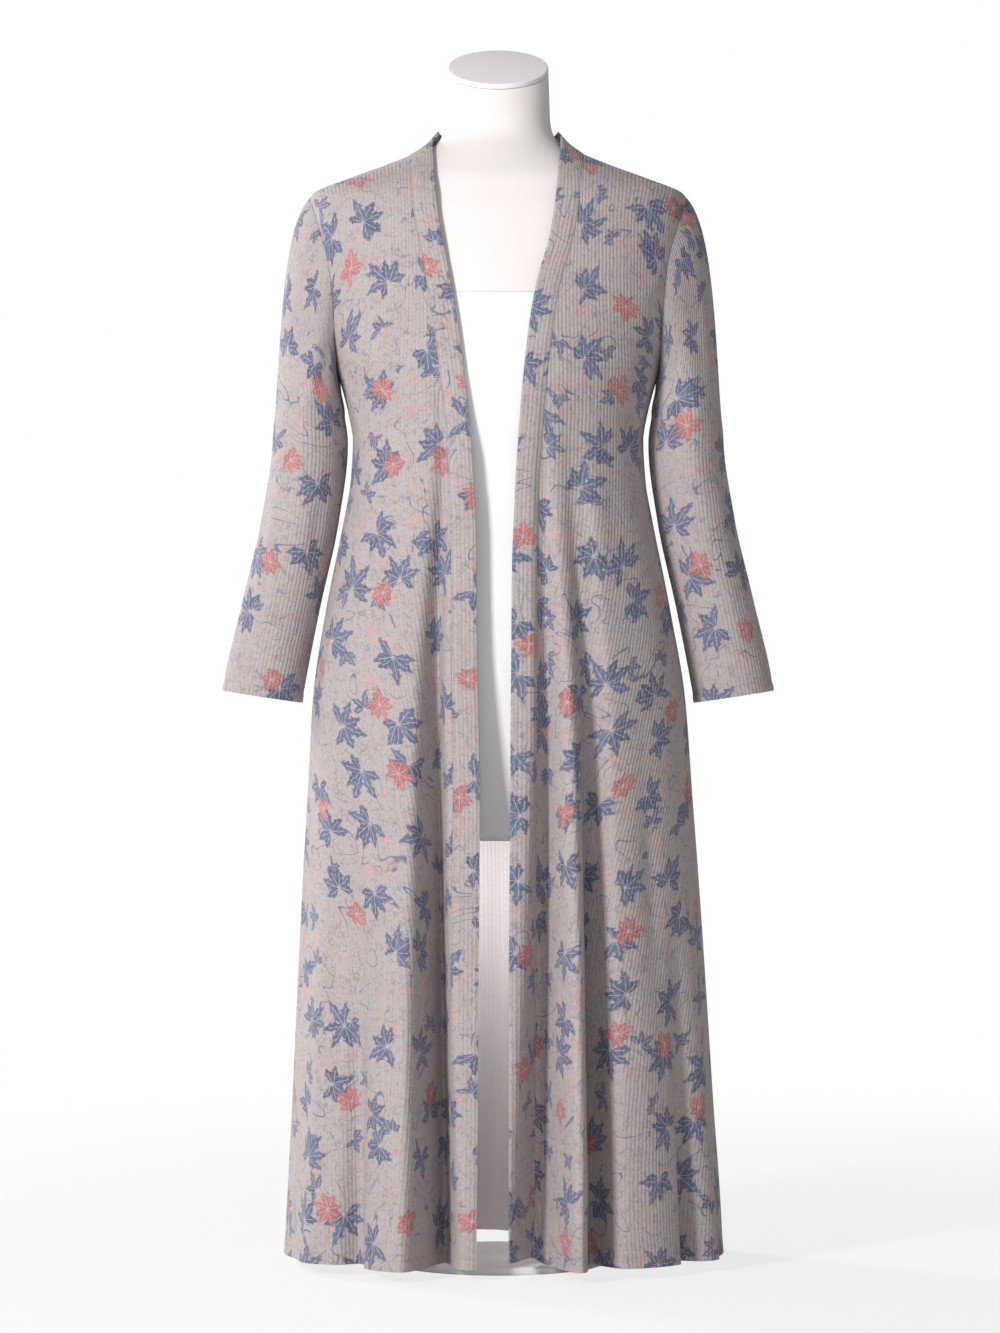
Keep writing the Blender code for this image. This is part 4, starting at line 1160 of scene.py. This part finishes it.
def band_panel(name, side, grid, edges, hem):
    """A band: a panel with its free edge rolled round."""
    turn, height = side * grid[..., 0], grid[..., 1]
    inner = draw_in(body(turn, height), SEAM_GAP / 2, edges)
    normal = body_normal(turn, height)
    across, up = distances(inner, 1), distances(inner, 0)
    turned_up = hem_turn_up(up, HEM_DEPTH, HEM_LIFT) if hem else 0.0
    roll = BAND_ROUND * np.exp(-((across / 0.0020) ** 2))
    to_seam = across[:, -1:] - across
    wall = CLOTH + (BAND_CLOTH - CLOTH) * ease(to_seam / BAND_SLOPE)
    outer = inner + normal * (wall + turned_up - roll)[..., None]
    shift = PRINT_SHIFT[name]
    cloth_map = np.stack([across + shift[0], up + shift[1]], axis=-1)
    return shell(name + "_cloth", inner, outer, cloth_map, lining=KNIT_FACE), cloth_map, inner, outer, up


def band_grid(side):
    hem = hem_height(side, seam_turn(side, HEM))
    rise = np.linspace(0, 1, SKIRT_ROWS + 1)
    seam_height = np.concatenate([hem + (UNDERARM - hem) * rise, front_seam_heights(side)[1:]])
    stand = BAND_STAND * ease((seam_height - BAND_STAND_FROM) / (NECK_POINT - BAND_STAND_FROM))
    edge_height = seam_height + stand
    seam = seam_turn(side, seam_height)
    edge = turn_at(edge_across(side, edge_height), edge_height)
    seam[-1] = edge[-1] = 90.0
    w = np.linspace(0, 1, BAND_CELLS + 1)[None, :, None]
    return (1 - w) * pairs(edge, edge_height)[:, None] + w * pairs(seam, seam_height)[:, None]


for side, word in ((+1, "left"), (-1, "right")):
    name = "band_" + word
    band, cloth_map, inner, outer, up = band_panel(name, side, band_grid(side), ("end", "top"), True)
    stitches = stitch_rows("band_stitches_" + word, [outer[:, -2], row_at(outer, up, HEM_DEPTH)])
    declare(band, name)

half_neck = back_neck(NECK_CELLS)
other_neck = half_neck[::-1] * 1.0
other_neck[:, 0] = 360 - other_neck[:, 0]
neck_seam = np.concatenate([half_neck[::-1], other_neck[::-1][1:]])
stand = np.linspace(1, 0, BAND_CELLS + 1)[None, :, None]
neck_grid = neck_seam[:, None] + np.array([0.0, BAND_STAND]) * stand
band, cloth_map, inner, outer, up = band_panel("band_neck", +1, neck_grid, ("bottom", "top", "end"), False)
stitches = stitch_rows("band_stitches_neck", [outer[:, -2]])
declare(band, "band_neck")

# The sleeves: a tube each, set into the armhole with a slight lift at the shoulder tip, hanging close to the
# side and open at the cuff, which is turned up and stitched.

SLEEVE_COLUMNS = ("height", "centre", "half_width", "half_depth")
SLEEVE = (
    (0.602, 0.2510, 0.0423, 0.0420),
    (0.620, 0.2480, 0.0423, 0.0420),
    (0.705, 0.2297, 0.0410, 0.0440),
    (0.790, 0.2107, 0.0410, 0.0490),
    (0.875, 0.2000, 0.0400, 0.0560),
    (0.900, 0.2005, 0.0372, 0.0580),
)
SLEEVE_TOP_RING = 0.900
CUFF = 0.602
CUFF_TILT = 0.0065
HALF_ROUND = 66
CAP_RINGS = 34
SLEEVE_RINGS = 52
SLEEVE_RADIUS = 0.045
CREASE_SLANT = 0.008
CREASES_FROM = 0.01
CREASE_PLACES = ("level", "angle", "width", "length", "depth")
SLEEVE_CREASES = (
    (0.985, 60.0, 0.010, 0.060, -0.0020),
    (0.940, 110.0, 0.010, 0.050, -0.0022),
    (0.860, 80.0, 0.012, 0.060, 0.0016),
    (0.790, 30.0, 0.009, 0.050, -0.0018),
    (0.780, 120.0, 0.010, 0.040, -0.0016),
    (0.700, 70.0, 0.012, 0.050, 0.0014),
    (0.950, 250.0, 0.010, 0.060, -0.0020),
    (0.840, 290.0, 0.012, 0.050, 0.0016),
    (0.760, 240.0, 0.010, 0.050, -0.0018),
)


def sleeve_ring(angle, height, tilt):
    rows = column(SLEEVE, SLEEVE_COLUMNS, "height")
    centre, half_width, half_depth = (through(height, rows, column(SLEEVE, SLEEVE_COLUMNS, name))
                                      for name in SLEEVE_COLUMNS[1:])
    outward, forward = np.cos(angle), -np.sin(angle)
    x, y = centre + half_width * outward, half_depth * forward
    return np.stack(np.broadcast_arrays(x, y, height + tilt * outward), axis=-1)


def make_sleeve(word, side):
    front, back = armhole_angles(False, HALF_ROUND), armhole_angles(True, HALF_ROUND)[::-1][1:-1]
    turn, height = (np.concatenate(both) for both in zip(armhole(front, False), armhole(back, True)))
    angle = np.radians(np.concatenate([front, 360 - back]))
    out = body_normal(turn, height)
    edge = body(turn, height) + out * CLOTH
    around = np.roll(edge, -1, axis=0) - np.roll(edge, 1, axis=0)
    away = unit(np.cross(around, out))
    away *= np.sign(((edge.mean(axis=0) - edge) * away).sum(axis=1, keepdims=True))
    under = (1 - np.cos(angle[:, None])) / 2
    start = edge + SEAM_GAP * ((1 - under) * away + under * out)
    start_wall = -np.cos(angle[:, None]) * out + abs(np.sin(angle[:, None])) * away
    first = sleeve_ring(angle, SLEEVE_TOP_RING, 0.0)
    reach = np.linalg.norm(first - start, axis=1, keepdims=True)
    outward, down = np.array([1.0, 0.0, 0.0]), np.array([0.0, 0.0, -1.0])
    leave = 0.40 * (1 - under) * outward + (0.35 + 0.5 * under) * down
    arrive = 0.08 * outward + 0.95 * down
    rings = []
    for s in np.linspace(0, 1, CAP_RINGS + 1):
        rings.append(start * (1 + 2 * s) * (1 - s) ** 2 + first * s * s * (3 - 2 * s)
                     + reach * (leave * s * (1 - s) ** 2 - arrive * s * s * (1 - s)))
    for level in np.linspace(SLEEVE_TOP_RING, CUFF, SLEEVE_RINGS + 1)[1:]:
        tilt = CUFF_TILT * ease((SLEEVE_TOP_RING - level) / (SLEEVE_TOP_RING - CUFF))
        rings.append(sleeve_ring(angle, level, tilt))
    surface = np.stack(rings)
    along = np.gradient(surface, axis=0)
    round_it = np.roll(surface, -1, axis=1) - np.roll(surface, 1, axis=1)
    inwards = unit(np.cross(round_it, along))
    centres = surface.mean(axis=1, keepdims=True)
    inwards *= np.sign(((centres - surface) * inwards).sum(axis=-1, keepdims=True))
    inwards[0] = unit(start_wall)
    inwards[1] = unit(inwards[1] + 0.5 * inwards[0])
    push = np.zeros(surface.shape[:2])
    degrees = np.degrees(angle)[None]
    for row in SLEEVE_CREASES:
        crease = dict(zip(CREASE_PLACES, row))
        aside = np.radians((degrees - crease["angle"] + 180) % 360 - 180) * SLEEVE_RADIUS / crease["width"]
        down_it = (surface[..., 2] - crease["level"] - aside * CREASE_SLANT) / crease["length"]
        push += crease["depth"] * np.exp(-aside * aside - down_it * down_it)
    closed_surface = np.concatenate([surface, surface[:, :1]], axis=1)
    across = distances(closed_surface, 1)
    across = across - across[:, HALF_ROUND:HALF_ROUND + 1]
    down_length = distances(closed_surface, 0)
    from_cuff = down_length[-1:] - down_length
    turned_up = hem_turn_up(from_cuff, HEM_DEPTH, HEM_LIFT)[:, :-1]
    push = push * ease(down_length / CREASES_FROM)[:, :-1]
    outer = surface - inwards * (turned_up + push)[..., None]
    inner = surface + inwards * (CLOTH - push)[..., None]
    shift = PRINT_SHIFT["sleeve_" + word]
    cloth_map = np.stack([across + shift[0], from_cuff + shift[1]], axis=-1)
    mirror = np.array([side, 1, 1])
    sleeve = shell(f"sleeve_{word}_cloth", inner * mirror, outer * mirror, cloth_map, closed=True)
    ring = len(from_cuff) - 1 - int(np.searchsorted(from_cuff[::-1, 0], HEM_DEPTH))
    cuff_line = np.concatenate([outer[ring], outer[ring][:1]]) * mirror
    stitches = stitch_rows("cuff_stitches_" + word, [cuff_line])
    declare(sleeve, "sleeve_" + word)


make_sleeve("left", +1)
make_sleeve("right", -1)
